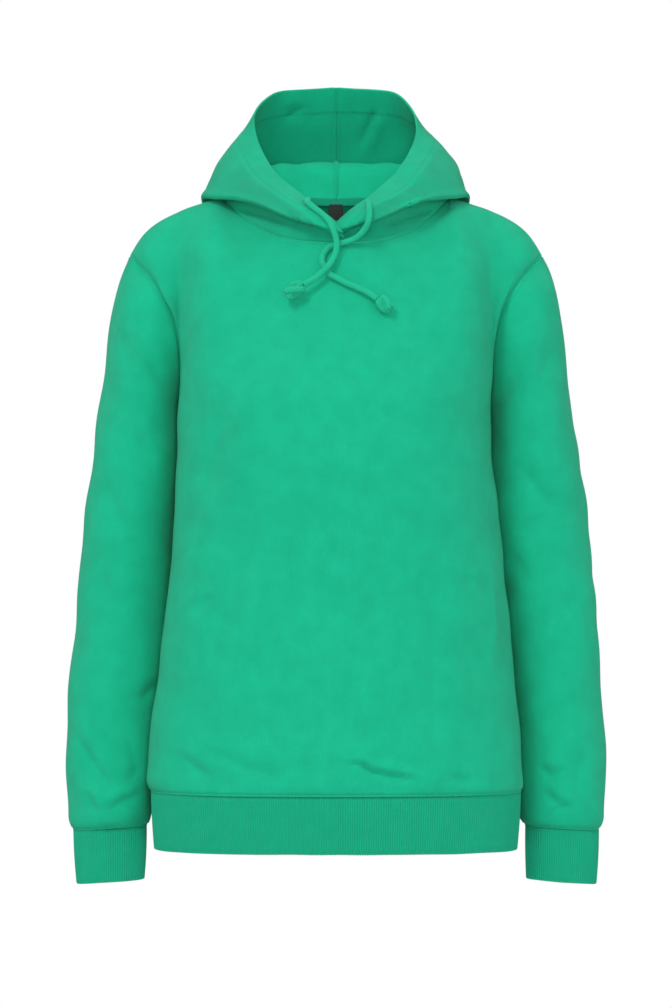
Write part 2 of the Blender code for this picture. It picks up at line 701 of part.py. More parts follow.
tape_cloth = material("green neck tape", (0.012, 0.30, 0.18), 0.85)
label_cloth = material("dark label cloth", (0.035, 0.040, 0.035), 0.8)
neck_tape(tape_cloth)
neck_label(label_cloth)
knots = {
    "left": (CORD_LEFT_ROUTE, KNOT_LEFT_HALF_LENGTH),
    "right": (CORD_RIGHT_ROUTE, KNOT_RIGHT_HALF_LENGTH),
}
for side, (route, half_length) in knots.items():
    end, direction = cord("drawcord_" + side, route, braid)
    knot("knot_" + side, end, direction, half_length, braid)
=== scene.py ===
import math
from collections import namedtuple

import bmesh
import bpy
import numpy as np
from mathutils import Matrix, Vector


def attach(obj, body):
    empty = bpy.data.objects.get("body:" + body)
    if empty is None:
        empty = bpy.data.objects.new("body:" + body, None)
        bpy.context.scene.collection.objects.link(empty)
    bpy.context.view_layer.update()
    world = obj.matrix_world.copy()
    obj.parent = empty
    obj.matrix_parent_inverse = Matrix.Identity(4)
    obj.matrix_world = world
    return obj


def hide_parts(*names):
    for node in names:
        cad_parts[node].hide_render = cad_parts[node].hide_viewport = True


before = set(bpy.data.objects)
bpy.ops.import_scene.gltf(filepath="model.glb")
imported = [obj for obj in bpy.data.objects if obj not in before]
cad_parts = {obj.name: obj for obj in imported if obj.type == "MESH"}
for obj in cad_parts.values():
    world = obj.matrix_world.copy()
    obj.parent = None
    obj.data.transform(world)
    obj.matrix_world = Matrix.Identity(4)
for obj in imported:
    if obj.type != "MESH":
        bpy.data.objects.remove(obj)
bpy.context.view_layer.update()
print("frame loaded:", len(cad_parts), "nodes")

mirrorX = np.array([-1.0, 1.0, 1.0])


def addObject(name, data):
    made = bpy.data.objects.new(name, data)
    bpy.context.scene.collection.objects.link(made)
    return made


def unit(vectors):  # each vector of an array, one long
    return vectors / np.maximum(np.linalg.norm(vectors, axis=-1, keepdims=True), 1e-12)


# camera
camera = {"distance": 5.0, "height": -0.306, "lens": 178.6, "sensor": 36.0}


def addCamera():
    lens = bpy.data.cameras.new("camera")
    lens.lens = camera["lens"]
    lens.sensor_width = camera["sensor"]
    made = addObject("camera", lens)
    made.location = (0.0, -camera["distance"], camera["height"])
    made.rotation_euler = (math.pi / 2, 0.0, 0.0)
    bpy.context.scene.camera = made


addCamera()


# curves and grids
def lengthsAlong(points):
    steps = np.linalg.norm(np.diff(np.asarray(points, float), axis=0), axis=1)
    return np.concatenate([[0.0], np.cumsum(steps)])


def ease(value, start, end):  # 0 before start, 1 past end
    t = np.clip((np.asarray(value, float) - start) / (end - start), 0.0, 1.0)
    return t * t * (3 - 2 * t)


def signedPower(value, exponent):
    return np.sign(value) * np.abs(value) ** exponent


def through(knots, rows, at):  # a smooth curve through rows, with gentle slopes at each
    knots = np.asarray(knots, float)
    rows = np.asarray(rows, float)
    at = np.asarray(at, float)
    slopes = np.gradient(rows, knots, axis=0)
    first = np.clip(np.searchsorted(knots, at, side="right") - 1, 0, len(knots) - 2)
    span = (knots[first + 1] - knots[first]).reshape((-1,) + (1,) * (rows.ndim - 1))
    t = (at - knots[first]).reshape(span.shape) / span
    ends = (1 + 2 * t) * (1 - t) ** 2 * rows[first] + t * t * (3 - 2 * t) * rows[first + 1]
    bends = t * (1 - t) ** 2 * slopes[first] - t * t * (1 - t) * slopes[first + 1]
    return ends + span * bends


def fair(knots, rows, at, closed=False):  # the same, with its bending even too
    knots = np.asarray(knots, float)
    rows = np.asarray(rows, float)
    at = np.asarray(at, float)
    shape = rows.shape[1:]
    flat = rows.reshape(len(rows), -1)
    if closed:  # the last row is the first one again
        span = knots[-1] - knots[0]
        knots = np.concatenate([knots[-6:-1] - span, knots, knots[1:6] + span])
        flat = np.vstack([flat[-6:-1], flat, flat[1:6]])
    gaps = np.diff(knots)
    count = len(knots)
    system = np.eye(count)
    known = np.zeros_like(flat)
    for row in range(1, count - 1):
        before, after = gaps[row - 1], gaps[row]
        system[row, row - 1: row + 2] = before, 2 * (before + after), after
        rise, fall = (flat[row + 1] - flat[row]) / after, (flat[row] - flat[row - 1]) / before
        known[row] = 6 * (rise - fall)
    bend = np.linalg.solve(system, known)
    first = np.clip(np.searchsorted(knots, at, side="right") - 1, 0, count - 2)
    gap = gaps[first][:, None]
    b = (at - knots[first])[:, None] / gap
    a = 1 - b
    line = a * flat[first] + b * flat[first + 1]
    line += ((a ** 3 - a) * bend[first] + (b ** 3 - b) * bend[first + 1]) * gap ** 2 / 6
    return line.reshape((len(at),) + shape)


seamRows = (0.0009, 0.0020, 0.0034, 0.0054)  # how far from a seam the close rows beside it lie
closestRows = 0.0005


def sampled(length, step, seamLow, seamHigh):  # places along an edge, closer near a seam
    close = np.array(seamRows)
    low = close[-1] if seamLow else 0.0
    high = close[-1] if seamHigh else 0.0
    count = max(2, round((length - low - high) / step))
    places = [np.linspace(low, length - high, count + 1)]
    if seamLow:
        places.insert(0, np.append(0.0, close[:-1]))
    if seamHigh:
        places.append(length - np.append(0.0, close[:-1])[::-1])
    return np.concatenate(places)


def gridNormals(points, closed=False):  # the way out of the cloth at each point of a grid
    upward = np.gradient(points, axis=0)
    if closed:
        ring = points[:, :-1]
        across = (np.roll(ring, -1, axis=1) - np.roll(ring, 1, axis=1)) / 2
        across = np.concatenate([across, across[:, :1]], axis=1)
    else:
        across = np.gradient(points, axis=1)
    return unit(np.cross(across, upward))


def meanSpacing(points, axis):
    steps = np.linalg.norm(np.diff(points, axis=axis), axis=-1).mean(axis=1 - axis)
    return np.concatenate([[0.0], np.cumsum(steps)])


def refined(coarse, step, seams, closed=False, extra=()):
    # A fine grid on the same form, with its distances up and across the cloth
    upKnots = meanSpacing(coarse, 0)
    acrossKnots = meanSpacing(coarse, 1)
    up = sampled(upKnots[-1], step, "bottom" in seams, "top" in seams)
    for place in extra:  # a row of its own, measured from the top
        at = upKnots[-1] - place
        up = np.append(up[np.abs(up - at) > closestRows], at)
    up = np.sort(up)
    across = sampled(acrossKnots[-1], step, "left" in seams, "right" in seams)
    rows = fair(upKnots, coarse, up)
    grid = fair(acrossKnots, rows.transpose(1, 0, 2), across, closed).transpose(1, 0, 2)
    return grid, up, across


# soft waves and folds
noiseShape = {"waves": 9, "paces": (0.75, 1.5), "even": 3.0}


def softNoise(points, size, seed):  # smooth and even, between about -1 and 1
    random = np.random.default_rng(seed)
    total = np.zeros(points.shape[:-1])
    for _ in range(noiseShape["waves"]):
        way = random.normal(size=3)
        way /= np.linalg.norm(way)
        pace = 2 * math.pi / (size * random.uniform(*noiseShape["paces"]))
        total += np.sin((points @ way) * pace + random.uniform(0, 2 * math.pi))
    return total / noiseShape["even"]


Fold = namedtuple("Fold", "width depth ridge path start end", defaults=(0.35, 0.35))
foldShape = {"core": 0.45, "ridgeAt": 1.7, "ridgeWidth": 1.3, "fade": 0.02, "facing": 0.35}


def foldDepth(points, fold):
    # How far one fold moves each point out. Its path is in (x, z), and its ridge stands on one side
    path = np.array(fold.path, float)
    flat = points[..., [0, 2]]
    lengths = lengthsAlong(path)
    nearest = np.full(flat.shape[:-1], 1e9)
    place = np.zeros(flat.shape[:-1])
    side = np.zeros(flat.shape[:-1])
    for start, end, gone in zip(path, path[1:], lengths):
        run = end - start
        size = np.linalg.norm(run)
        t = np.clip(((flat - start) @ run) / size ** 2, 0, 1)
        away = flat - (start + t[..., None] * run)
        distance = np.linalg.norm(away, axis=-1)
        closer = distance < nearest
        nearest = np.where(closer, distance, nearest)
        place = np.where(closer, (gone + t * size) / lengths[-1], place)
        turn = run[0] * away[..., 1] - run[1] * away[..., 0]
        side = np.where(closer, np.sign(turn) * distance, side)
    taper = ease(place, -foldShape["fade"], fold.start)
    taper = taper * (1 - ease(place, 1 - fold.end, 1 + foldShape["fade"]))
    width = fold.width
    trough = -np.exp(-(nearest / width) ** 2) * 0.5
    trough = trough - np.exp(-nearest / (foldShape["core"] * width)) * 0.5
    beyond = side - foldShape["ridgeAt"] * width
    ridge = fold.ridge * np.exp(-(beyond / (foldShape["ridgeWidth"] * width)) ** 2)
    return fold.depth * (trough + ridge) * taper


def foldedOut(points, normals, folds, front):
    faces = ease(-normals[..., 1] if front else normals[..., 1], 0.0, foldShape["facing"])
    total = np.zeros(points.shape[:-1])
    for fold in folds:
        total += foldDepth(points, fold)
    return total * faces


# the garment's sizes
BodySection = namedtuple("BodySection", "height halfWidth front back")
bodySections = [BodySection(*row) for row in (
    (-0.5915, 0.1846, -0.1225, 0.1130),
    (-0.5855, 0.1867, -0.1245, 0.1150),
    (-0.5650, 0.1862, -0.1255, 0.1160),
    (-0.5290, 0.1830, -0.1265, 0.1150),
    (-0.4820, 0.1755, -0.1280, 0.1100),
    (-0.4450, 0.1710, -0.1295, 0.1050),
    (-0.4020, 0.1670, -0.1310, 0.1010),
    (-0.3490, 0.1625, -0.1345, 0.0990),
    (-0.3020, 0.1597, -0.1385, 0.1010),
    (-0.2630, 0.1570, -0.1410, 0.1060),
    (-0.2050, 0.1556, -0.1400, 0.1130),
)]
hemSections = [BodySection(*row) for row in (
    (-0.6480, 0.1810, -0.1175, 0.1085),
    (-0.5918, 0.1842, -0.1205, 0.1115),
)]
bodyHeights = (-0.5915, -0.5855, -0.5720, -0.5480, -0.5150, -0.4750, -0.4350, -0.3900,
               -0.3450, -0.3020, -0.2630, -0.2300)
body = {"squareness": 2.4, "sideSeam": 100.0, "widestY": -0.020, "halfColumns": 12, "yokeRows": 10,
        "neckColumns": 7, "neckCrowding": 1.5, "cornerRounds": 5, "cornerPower": 6,
        "guides": 0.80, "foldAt": 0.93, "straightTo": 0.15,
        "rounding": {"front": (0.25, 0.75), "back": (0.8, 0.2), "between": (0.2, 0.6)}}

neckSeam = np.array((  # from centre back round the side to the front
    (0.0000, 0.0620, 0.0003),
    (0.0300, 0.0590, 0.0010),
    (0.0600, 0.0490, 0.0020),
    (0.0900, 0.0300, 0.0030),
    (0.1110, 0.0060, 0.0025),
    (0.1094, -0.0150, -0.0059),
    (0.0883, -0.0400, -0.0259),
    (0.0687, -0.0600, -0.0383),
    (0.0493, -0.0740, -0.0450),
    (0.0265, -0.0830, -0.0485),
    (0.0000, -0.0860, -0.0490),
))
neckSide, neckFront = 4.0, 10.0
shoulderSeam = (
    (0.1110, 0.0060, 0.0025),
    (0.1360, 0.0060, -0.0060),
    (0.1630, 0.0060, -0.0160),
    (0.1870, 0.0060, -0.0310),
    (0.2010, 0.0055, -0.0480),
    (0.2060, 0.0050, -0.0570),
)
ArmholePoint = namedtuple("ArmholePoint", "rise x y z")  # rise 0 at the underarm, 1 at the shoulder
armholeFront = [ArmholePoint(*row) for row in (
    (0.00, 0.1550, 0.0110, -0.2050),
    (0.15, 0.1545, -0.0065, -0.1860),
    (0.30, 0.1552, -0.0215, -0.1550),
    (0.45, 0.1600, -0.0330, -0.1220),
    (0.62, 0.1755, -0.0370, -0.0930),
    (0.80, 0.1905, -0.0220, -0.0740),
    (0.92, 0.2025, -0.0070, -0.0610),
    (1.00, 0.2060, 0.0050, -0.0570),
)]
chestFold = [ArmholePoint(*row) for row in (
    (0.00, 0.1556, -0.0250, -0.2050),
    (0.25, 0.1562, -0.0405, -0.1600),
    (0.45, 0.1608, -0.0450, -0.1200),
    (0.60, 0.1705, -0.0435, -0.0980),
    (0.75, 0.1815, -0.0325, -0.0710),
    (0.90, 0.1960, -0.0130, -0.0500),
    (1.00, 0.2010, 0.0055, -0.0480),
)]
armholeBack = [ArmholePoint(*row) for row in (
    (0.00, 0.1550, 0.0110, -0.2050),
    (0.20, 0.1565, 0.0340, -0.1830),
    (0.45, 0.1650, 0.0540, -0.1400),
    (0.70, 0.1800, 0.0470, -0.0970),
    (0.85, 0.1940, 0.0310, -0.0760),
    (0.93, 0.2030, 0.0170, -0.0620),
    (1.00, 0.2060, 0.0050, -0.0570),
)]


def sectionRing(section, degrees):  # 0 degrees is centre front, 90 the wearer's left
    angle = np.radians(degrees)
    across = signedPower(np.sin(angle), 2 / body["squareness"])
    deep = signedPower(np.cos(angle), 2 / body["squareness"])
    middle = body["widestY"]
    reach = np.where(deep > 0, middle - section.front, section.back - middle)
    x = section.halfWidth * across
    return np.stack([x, middle - reach * deep, np.full_like(x, section.height)], axis=-1)


def bodyRing(height, degrees):
    heights = [section.height for section in bodySections]
    return sectionRing(BodySection(*through(heights, bodySections, [height])[0]), degrees)


def topEdge(across, neckStart):  # the neck seam, then the shoulder seam
    share = body["neckColumns"] / body["halfColumns"]
    turned = 1 - (1 - np.clip(across / share, 0, 1)) ** body["neckCrowding"]
    neck = through(range(len(neckSeam)), neckSeam, neckStart + (neckSide - neckStart) * turned)
    lengths = lengthsAlong(shoulderSeam)
    out = np.clip((across - share) / (1 - share), 0, 1) * lengths[-1]
    return np.where((across <= share)[:, None], neck, through(lengths, shoulderSeam, out))


def readArmhole(table, rise):
    return through([row.rise for row in table], [row[1:] for row in table], rise)


def yoke(low, top, across, edge, fold, rounding):
    # Rows from the underarm up to the neck and shoulder, round the chest and out to the armhole
    guides = across[across < body["guides"]]
    lowGuide, topGuide = low[: len(guides)], top[: len(guides)]
    plain = topGuide.copy()  # the top edge without its corner, which shapes the rows below it
    for _ in range(body["cornerRounds"]):
        plain[1:-1] = (plain[:-2] + 2 * plain[1:-1] + plain[2:]) / 4
    cornered = topGuide
    least, more = rounding
    bend = (least + more * ease(guides, *body["rounding"]["between"]))[:, None]
    rows = []
    for rise in np.linspace(0, 1, body["yokeRows"] + 1):
        topGuide = plain + (cornered - plain) * rise ** body["cornerPower"]
        straight = lowGuide + (topGuide - lowGuide) * rise
        span = topGuide - lowGuide
        straight[:, 0] = lowGuide[:, 0] + span[:, 0] * ease(rise, body["straightTo"], 1.0)
        turned = straight.copy()
        turned[:, 1] = lowGuide[:, 1] + span[:, 1] * (1 - math.cos(rise * math.pi / 2))
        turned[:, 2] = lowGuide[:, 2] + span[:, 2] * math.sin(rise * math.pi / 2)
        line = np.vstack([straight + (turned - straight) * bend, readArmhole(edge, [rise])])
        knots = np.append(guides, 1.0)
        if fold:
            knots = np.insert(knots, -1, body["foldAt"])
            line = np.insert(line, -1, readArmhole(fold, [rise])[0], axis=0)
        rows.append(through(knots, line, across))
    rows[-1] = top
    return rows


def bodyForm(side):
    across = np.linspace(0, 1, body["halfColumns"] + 1)
    if side == "front":
        angles, neckStart = across * body["sideSeam"], neckFront
        edge, fold = armholeFront, chestFold
    else:
        angles, neckStart = 180 - across * (180 - body["sideSeam"]), 0.0
        edge, fold = armholeBack, None
    rows = [bodyRing(height, angles) for height in bodyHeights]
    low, top = sectionRing(bodySections[-1], angles), topEdge(across, neckStart)
    rows += yoke(low, top, across, edge, fold, body["rounding"][side])
    whole = []
    for half in rows:  # the other half mirrors it
        other = half[:0:-1] * mirrorX
        whole.append(np.vstack([other, half] if side == "front" else [half[::-1], other[::-1]]))
    return np.array(whole)


sleeve = {"roundness": 2.15}
SleeveRing = namedtuple("SleeveRing", "outerX outerZ innerX innerZ middleY halfDepth")
sleeveRings = [SleeveRing(*row) for row in (
    (0.2163, -0.0815, 0.1565, -0.2130, 0.0160, 0.0540),
    (0.2240, -0.1150, 0.1560, -0.2270, 0.0225, 0.0600),
    (0.2316, -0.1610, 0.1560, -0.2430, 0.0300, 0.0640),
    (0.2375, -0.2050, 0.1560, -0.2670, 0.0350, 0.0660),
    (0.2430, -0.2400, 0.1560, -0.2920, 0.0370, 0.0650),
    (0.2530, -0.3210, 0.1585, -0.3500, 0.0400, 0.0610),
    (0.2610, -0.4010, 0.1640, -0.4120, 0.0400, 0.0560),
    (0.2670, -0.4670, 0.1710, -0.4680, 0.0390, 0.0520),
    (0.2705, -0.5300, 0.1790, -0.5260, 0.0350, 0.0480),
    (0.2712, -0.5650, 0.1828, -0.5600, 0.0310, 0.0450),
    (0.2693, -0.5920, 0.1840, -0.5880, 0.0260, 0.0430),
    (0.2677, -0.6130, 0.1835, -0.6090, 0.0220, 0.0390),
    (0.2662, -0.6270, 0.1860, -0.6230, 0.0190, 0.0330),
    (0.2642, -0.6325, 0.1893, -0.6280, 0.0180, 0.0280),
)]
cuffRings = [SleeveRing(*row) for row in (
    (0.2610, -0.6850, 0.1910, -0.6800, 0.0120, 0.0255),
    (0.2637, -0.6328, 0.1898, -0.6283, 0.0180, 0.0275),
)]


def sleeveRing(ring, turns):  # turn 0 is outermost, a quarter is the front
    angle = np.asarray(turns) * 2 * math.pi
    outward = signedPower(np.cos(angle), 2 / sleeve["roundness"])
    forward = signedPower(np.sin(angle), 2 / sleeve["roundness"])
    x = (ring.outerX + ring.innerX) / 2 + (ring.outerX - ring.innerX) / 2 * outward
    z = (ring.outerZ + ring.innerZ) / 2 + (ring.outerZ - ring.innerZ) / 2 * outward
    return np.stack([x, ring.middleY - ring.halfDepth * forward, z], axis=-1)


def sleeveForm():
    turns = np.linspace(0, 1, 2 * body["yokeRows"] + 1)
    front = readArmhole(armholeFront, np.clip(1 - 2 * turns, 0, 1))
    back = readArmhole(armholeBack, np.clip(2 * turns - 1, 0, 1))
    rings = [np.where((turns <= 0.5)[:, None], front, back)]
    return np.array(rings + [sleeveRing(ring, turns) for ring in sleeveRings])


HoodStation = namedtuple("HoodStation", "facing roll ease ridge bag cheek rim")
hoodStations = [HoodStation(*row) for row in (
    (90, 0.0060, 0.0006, (0.0000, 0.0840, 0.0394), (0.0000, 0.1260, -0.1350),
     (0.0000, 0.1660, 0.0100), (0.0000, 0.1200, 0.1200)),
    (76, 0.0060, 0.0006, (0.0300, 0.0810, 0.0392), (0.0370, 0.1220, -0.1250),
     (0.0420, 0.1600, 0.0120), (0.0370, 0.1150, 0.1175)),
    (58, 0.0058, 0.0006, (0.0600, 0.0690, 0.0380), (0.0750, 0.1070, -0.0950),
     (0.0850, 0.1360, 0.0200), (0.0632, 0.1000, 0.1120)),
    (35, 0.0022, 0.0006, (0.0910, 0.0460, 0.0320), (0.1130, 0.0750, -0.0480),
     (0.1140, 0.0940, 0.0300), (0.0800, 0.0720, 0.0930)),
    (5, 0.0017, 0.0020, (0.1120, 0.0120, 0.0195), (0.1330, 0.0220, -0.0036),
     (0.1220, 0.0440, 0.0340), (0.0825, 0.0520, 0.0770)),
    (-25, 0.0028, 0.0020, (0.1090, -0.0170, 0.0110), (0.1225, -0.0230, -0.0026),
     (0.1130, 0.0040, 0.0280), (0.0796, 0.0340, 0.0610)),
    (-45, 0.0032, 0.0014, (0.0900, -0.0410, -0.0030), (0.0970, -0.0500, -0.0060),
     (0.0940, -0.0300, 0.0180), (0.0696, -0.0010, 0.0385)),
    (-58, 0.0030, 0.0010, (0.0680, -0.0620, -0.0120), (0.0710, -0.0740, -0.0145),
     (0.0720, -0.0560, 0.0060), (0.0538, -0.0320, 0.0180)),
    (-70, 0.0028, 0.0006, (0.0480, -0.0770, -0.0210), (0.0490, -0.0880, -0.0245),
     (0.0480, -0.0780, -0.0070), (0.0307, -0.0600, -0.0027)),
    (-80, 0.0024, 0.0006, (0.0270, -0.0870, -0.0280), (0.0290, -0.0980, -0.0305),
     (0.0260, -0.0930, -0.0180), (0.0118, -0.0780, -0.0186)),
    (-90, 0.0004, 0.0006, (-0.0070, -0.0900, -0.0440), (-0.0060, -0.0930, -0.0400),
     (-0.0030, -0.0910, -0.0340), (-0.0005, -0.0880, -0.0293)),
)]
hood = {"wall": 0.0020, "frontNeck": (-0.0100, -0.0870, -0.0490), "lapStep": 0.0078,
        "lapBlend": (0.050, 0.012), "lapAtSeam": 0.6, "cheekShare": 0.3, "step": 0.0030,
        "cornerSteps": (14, 4, 4, 30, 4, 4, 8, 20, 24),
        "tunnel": 0.0250, "tunnelWall": 0.0003, "tunnelEdge": 0.0008, "tunnelRow": 0.0009,
        "rimRow": 0.0010, "even": 0.0300, "evenShare": 0.6}


def hoodForm(over):
    # Each station runs from the neck seam over the ridge, down the bag and up the cheek to the rim
    neck = neckSeam.copy()
    neck[-1] = hood["frontNeck"]
    steps = []
    for corner, count in enumerate(hood["cornerSteps"]):
        steps += [corner + step / count for step in range(count)]
    steps.append(len(hood["cornerSteps"]))
    lines = []
    for station, start in zip(hoodStations, neck):
        facing = math.radians(station.facing)
        out = np.array([math.cos(facing), math.sin(facing), 0.0]) * station.roll
        up = np.array([0.0, 0.0, station.roll])
        ridge, bag = np.array(station.ridge), np.array(station.bag)
        corners = [start + np.array([0, 0, station.ease]), ridge - out - up, ridge, ridge + out - up]
        outside = bag + out + up
        below = outside * (1 - hood["cheekShare"]) + np.array(station.cheek) * hood["cheekShare"]
        corners += [bag - out + up, bag, outside, below, station.cheek, station.rim]
        knots = lengthsAlong(corners)
        lines.append(through(knots, corners, np.interp(steps, range(len(corners)), knots)))
    lines = np.array(lines)
    knots = meanSpacing(lines, 0)
    stations = np.linspace(0, knots[-1], round(knots[-1] / hood["step"]) + 1)
    points = fair(knots, lines, stations)
    if not over:  # the under half steps back where the fronts lap
        nearFront = ease(points[..., 0], *hood["lapBlend"]) * (points[..., 1] < 0)
        rising = ease(np.arange(len(steps)), 0, hood["cornerSteps"][0])
        aboveSeam = hood["lapAtSeam"] + (1 - hood["lapAtSeam"]) * rising
        points[..., 1] += hood["lapStep"] * nearFront * aboveSeam
    return points.transpose(1, 0, 2)


# finishes
clothLook = {"Sheen Roughness": 0.45, "Specular IOR Level": 0.14}  # the same on every finish


def newMaterial(name, roughness, sheen, tint, colour):
    made = bpy.data.materials.new(name)
    made.use_nodes = True
    shader = made.node_tree.nodes["Principled BSDF"]
    look = {"Base Color": (*colour, 1), "Roughness": roughness, "Sheen Weight": sheen,
            "Sheen Tint": (*tint, 1), **clothLook}
    for socket, value in look.items():
        shader.inputs[socket].default_value = value
    return made, made.node_tree, shader


def addNode(tree, kind, **settings):
    made = tree.nodes.new(kind)
    for name, value in settings.items():
        setattr(made, name, value)
    return made


def sums(tree, operation, first, second=None):  # a Math node's result
    made = addNode(tree, "ShaderNodeMath", operation=operation)
    for socket, value in zip(made.inputs, (first, second)):
        if isinstance(value, (int, float)):
            socket.default_value = value
        elif value is not None:
            tree.links.new(value, socket)
    return made.outputs[0]


def times(tree, first, second):
    return sums(tree, "MULTIPLY", first, second)


def noise(tree, vector, scale, detail, roughness):
    made = addNode(tree, "ShaderNodeTexNoise")
    made.inputs["Scale"].default_value = scale
    made.inputs["Detail"].default_value = detail
    made.inputs["Roughness"].default_value = roughness
    tree.links.new(vector, made.inputs["Vector"])
    return made.outputs["Fac"]


def tinted(tree, shader, colour, factor, low, high):  # the colour, darker and lighter by factor
    ramp = addNode(tree, "ShaderNodeMapRange")
    ramp.inputs["To Min"].default_value = low
    ramp.inputs["To Max"].default_value = high
    tree.links.new(factor, ramp.inputs["Value"])
    shade = addNode(tree, "ShaderNodeVectorMath", operation="SCALE")
    shade.inputs[0].default_value = colour
    tree.links.new(ramp.outputs[0], shade.inputs["Scale"])
    tree.links.new(shade.outputs[0], shader.inputs["Base Color"])


def bumped(tree, shader, height, distance):
    bump = addNode(tree, "ShaderNodeBump")
    bump.inputs["Distance"].default_value = distance
    bump.inputs["Strength"].default_value = 1.0
    tree.links.new(height, bump.inputs["Height"])
    tree.links.new(bump.outputs[0], shader.inputs["Normal"])


def weighed(tree, *parts):  # the sum of outputs, each times its weight
    total = None
    for output, weight in parts:
        part = output if weight == 1.0 else times(tree, output, weight)
        total = part if total is None else sums(tree, "ADD", total, part)
    return total


stitchLook = {"slant": 1.1, "loop": 0.30, "ditch": -0.34,
              "hazeShade": 0.55, "fuzzShade": 0.35, "stitchShade": 0.14,
              "fuzzDetail": (4.0, 0.65), "hazeDetail": (3.0, 0.55)}


def knitMaterial(name, knit):
    # Columns of small V stitches on the piece's own map, in metres, under a brushed haze
    made, tree, shader = newMaterial(
        name, knit["roughness"], knit["sheen"], knit["sheenTint"], knit["colour"])
    where = addNode(tree, "ShaderNodeTexCoord")
    cloth = addNode(tree, "ShaderNodeSeparateXYZ")
    tree.links.new(where.outputs["UV"], cloth.inputs[0])
    across, along = cloth.outputs[0], cloth.outputs[1]
    wale = times(tree, across, 1 / knit["wale"])
    waleSide = sums(tree, "ABSOLUTE", sums(tree, "SUBTRACT", sums(tree, "FRACT", wale), 0.5))
    course = times(tree, along, 1 / knit["course"])
    slanted = weighed(tree, (course, 1.0), (waleSide, stitchLook["slant"]))
    loop = sums(tree, "SINE", times(tree, slanted, 2 * math.pi))
    ditch = sums(tree, "COSINE", times(tree, wale, 2 * math.pi))
    pattern = weighed(tree, (loop, stitchLook["loop"]), (ditch, stitchLook["ditch"]))
    fuzz = noise(tree, where.outputs["Object"], knit["fuzz"], *stitchLook["fuzzDetail"])
    haze = noise(tree, where.outputs["Object"], knit["haze"], *stitchLook["hazeDetail"])
    bumped(tree, shader, weighed(tree, (pattern, knit["stitch"]), (fuzz, knit["nap"])), knit["relief"])
    # painted shade and random tone: the stitch pattern paints the ditches between stitch columns
    # darker and the raised loops lighter, while the haze and the fuzz mottle the colour at random
    shade = weighed(tree, (haze, stitchLook["hazeShade"]), (fuzz, stitchLook["fuzzShade"]),
                    (pattern, stitchLook["stitchShade"]))
    tinted(tree, shader, knit["colour"], shade, 1 - knit["shade"], 1 + knit["shade"])
    return made


fleeceSheen, threadSheen = (0.45, 1.0, 0.75), (0.5, 1.0, 0.8)
fleeceFace = knitMaterial("green fleece face", {
    "colour": (0.0060, 0.445, 0.245), "roughness": 0.86, "sheen": 0.12, "sheenTint": fleeceSheen,
    "wale": 0.00125, "course": 0.0010, "fuzz": 1100.0, "haze": 55.0, "stitch": 0.8, "nap": 1.3,
    "relief": 0.00030, "shade": 0.26})
fleeceInside = knitMaterial("green fleece inside", {
    "colour": (0.0050, 0.440, 0.236), "roughness": 0.92, "sheen": 0.06, "sheenTint": fleeceSheen,
    "wale": 0.0016, "course": 0.0012, "fuzz": 900.0, "haze": 50.0, "stitch": 0.5, "nap": 1.2,
    "relief": 0.00030, "shade": 0.18})
ribFace = knitMaterial("green rib knit", {
    "colour": (0.0060, 0.350, 0.195), "roughness": 0.88, "sheen": 0.12, "sheenTint": fleeceSheen,
    "wale": 0.00115, "course": 0.0010, "fuzz": 1500.0, "haze": 70.0, "stitch": 0.5, "nap": 0.8,
    "relief": 0.00018, "shade": 0.14})
threadFace = knitMaterial("green thread", {
    "colour": (0.0070, 0.390, 0.215), "roughness": 0.75, "sheen": 0.10, "sheenTint": threadSheen,
    "wale": 0.0006, "course": 0.0005, "fuzz": 2500.0, "haze": 120.0, "stitch": 0.2, "nap": 0.5,
    "relief": 0.00006, "shade": 0.12})
braidFace = knitMaterial("green cotton braid", {
    "colour": (0.0090, 0.460, 0.260), "roughness": 0.78, "sheen": 0.25, "sheenTint": threadSheen,
    "wale": 0.0008, "course": 0.0006, "fuzz": 2200.0, "haze": 110.0, "stitch": 0.3, "nap": 0.8,
    "relief": 0.00010, "shade": 0.16})
tapeFace = knitMaterial("green neck tape", {
    "colour": (0.006, 0.330, 0.185), "roughness": 0.85, "sheen": 0.10, "sheenTint": threadSheen,
    "wale": 0.0008, "course": 0.0008, "fuzz": 1800.0, "haze": 110.0, "stitch": 0.5, "nap": 0.5,
    "relief": 0.00010, "shade": 0.15})
labelFace = knitMaterial("dark label", {
    "colour": (0.030, 0.036, 0.032), "roughness": 0.8, "sheen": 0.1, "sheenTint": (1.0, 1.0, 1.0),
    "wale": 0.0006, "course": 0.0006, "fuzz": 1500.0, "haze": 90.0, "stitch": 0.4, "nap": 0.4,
    "relief": 0.00008, "shade": 0.2})
print("finishes ready")


# meshes
lipTurns = (0.25, 0.5, 0.75)  # the half turn of a fold's lip, in shares


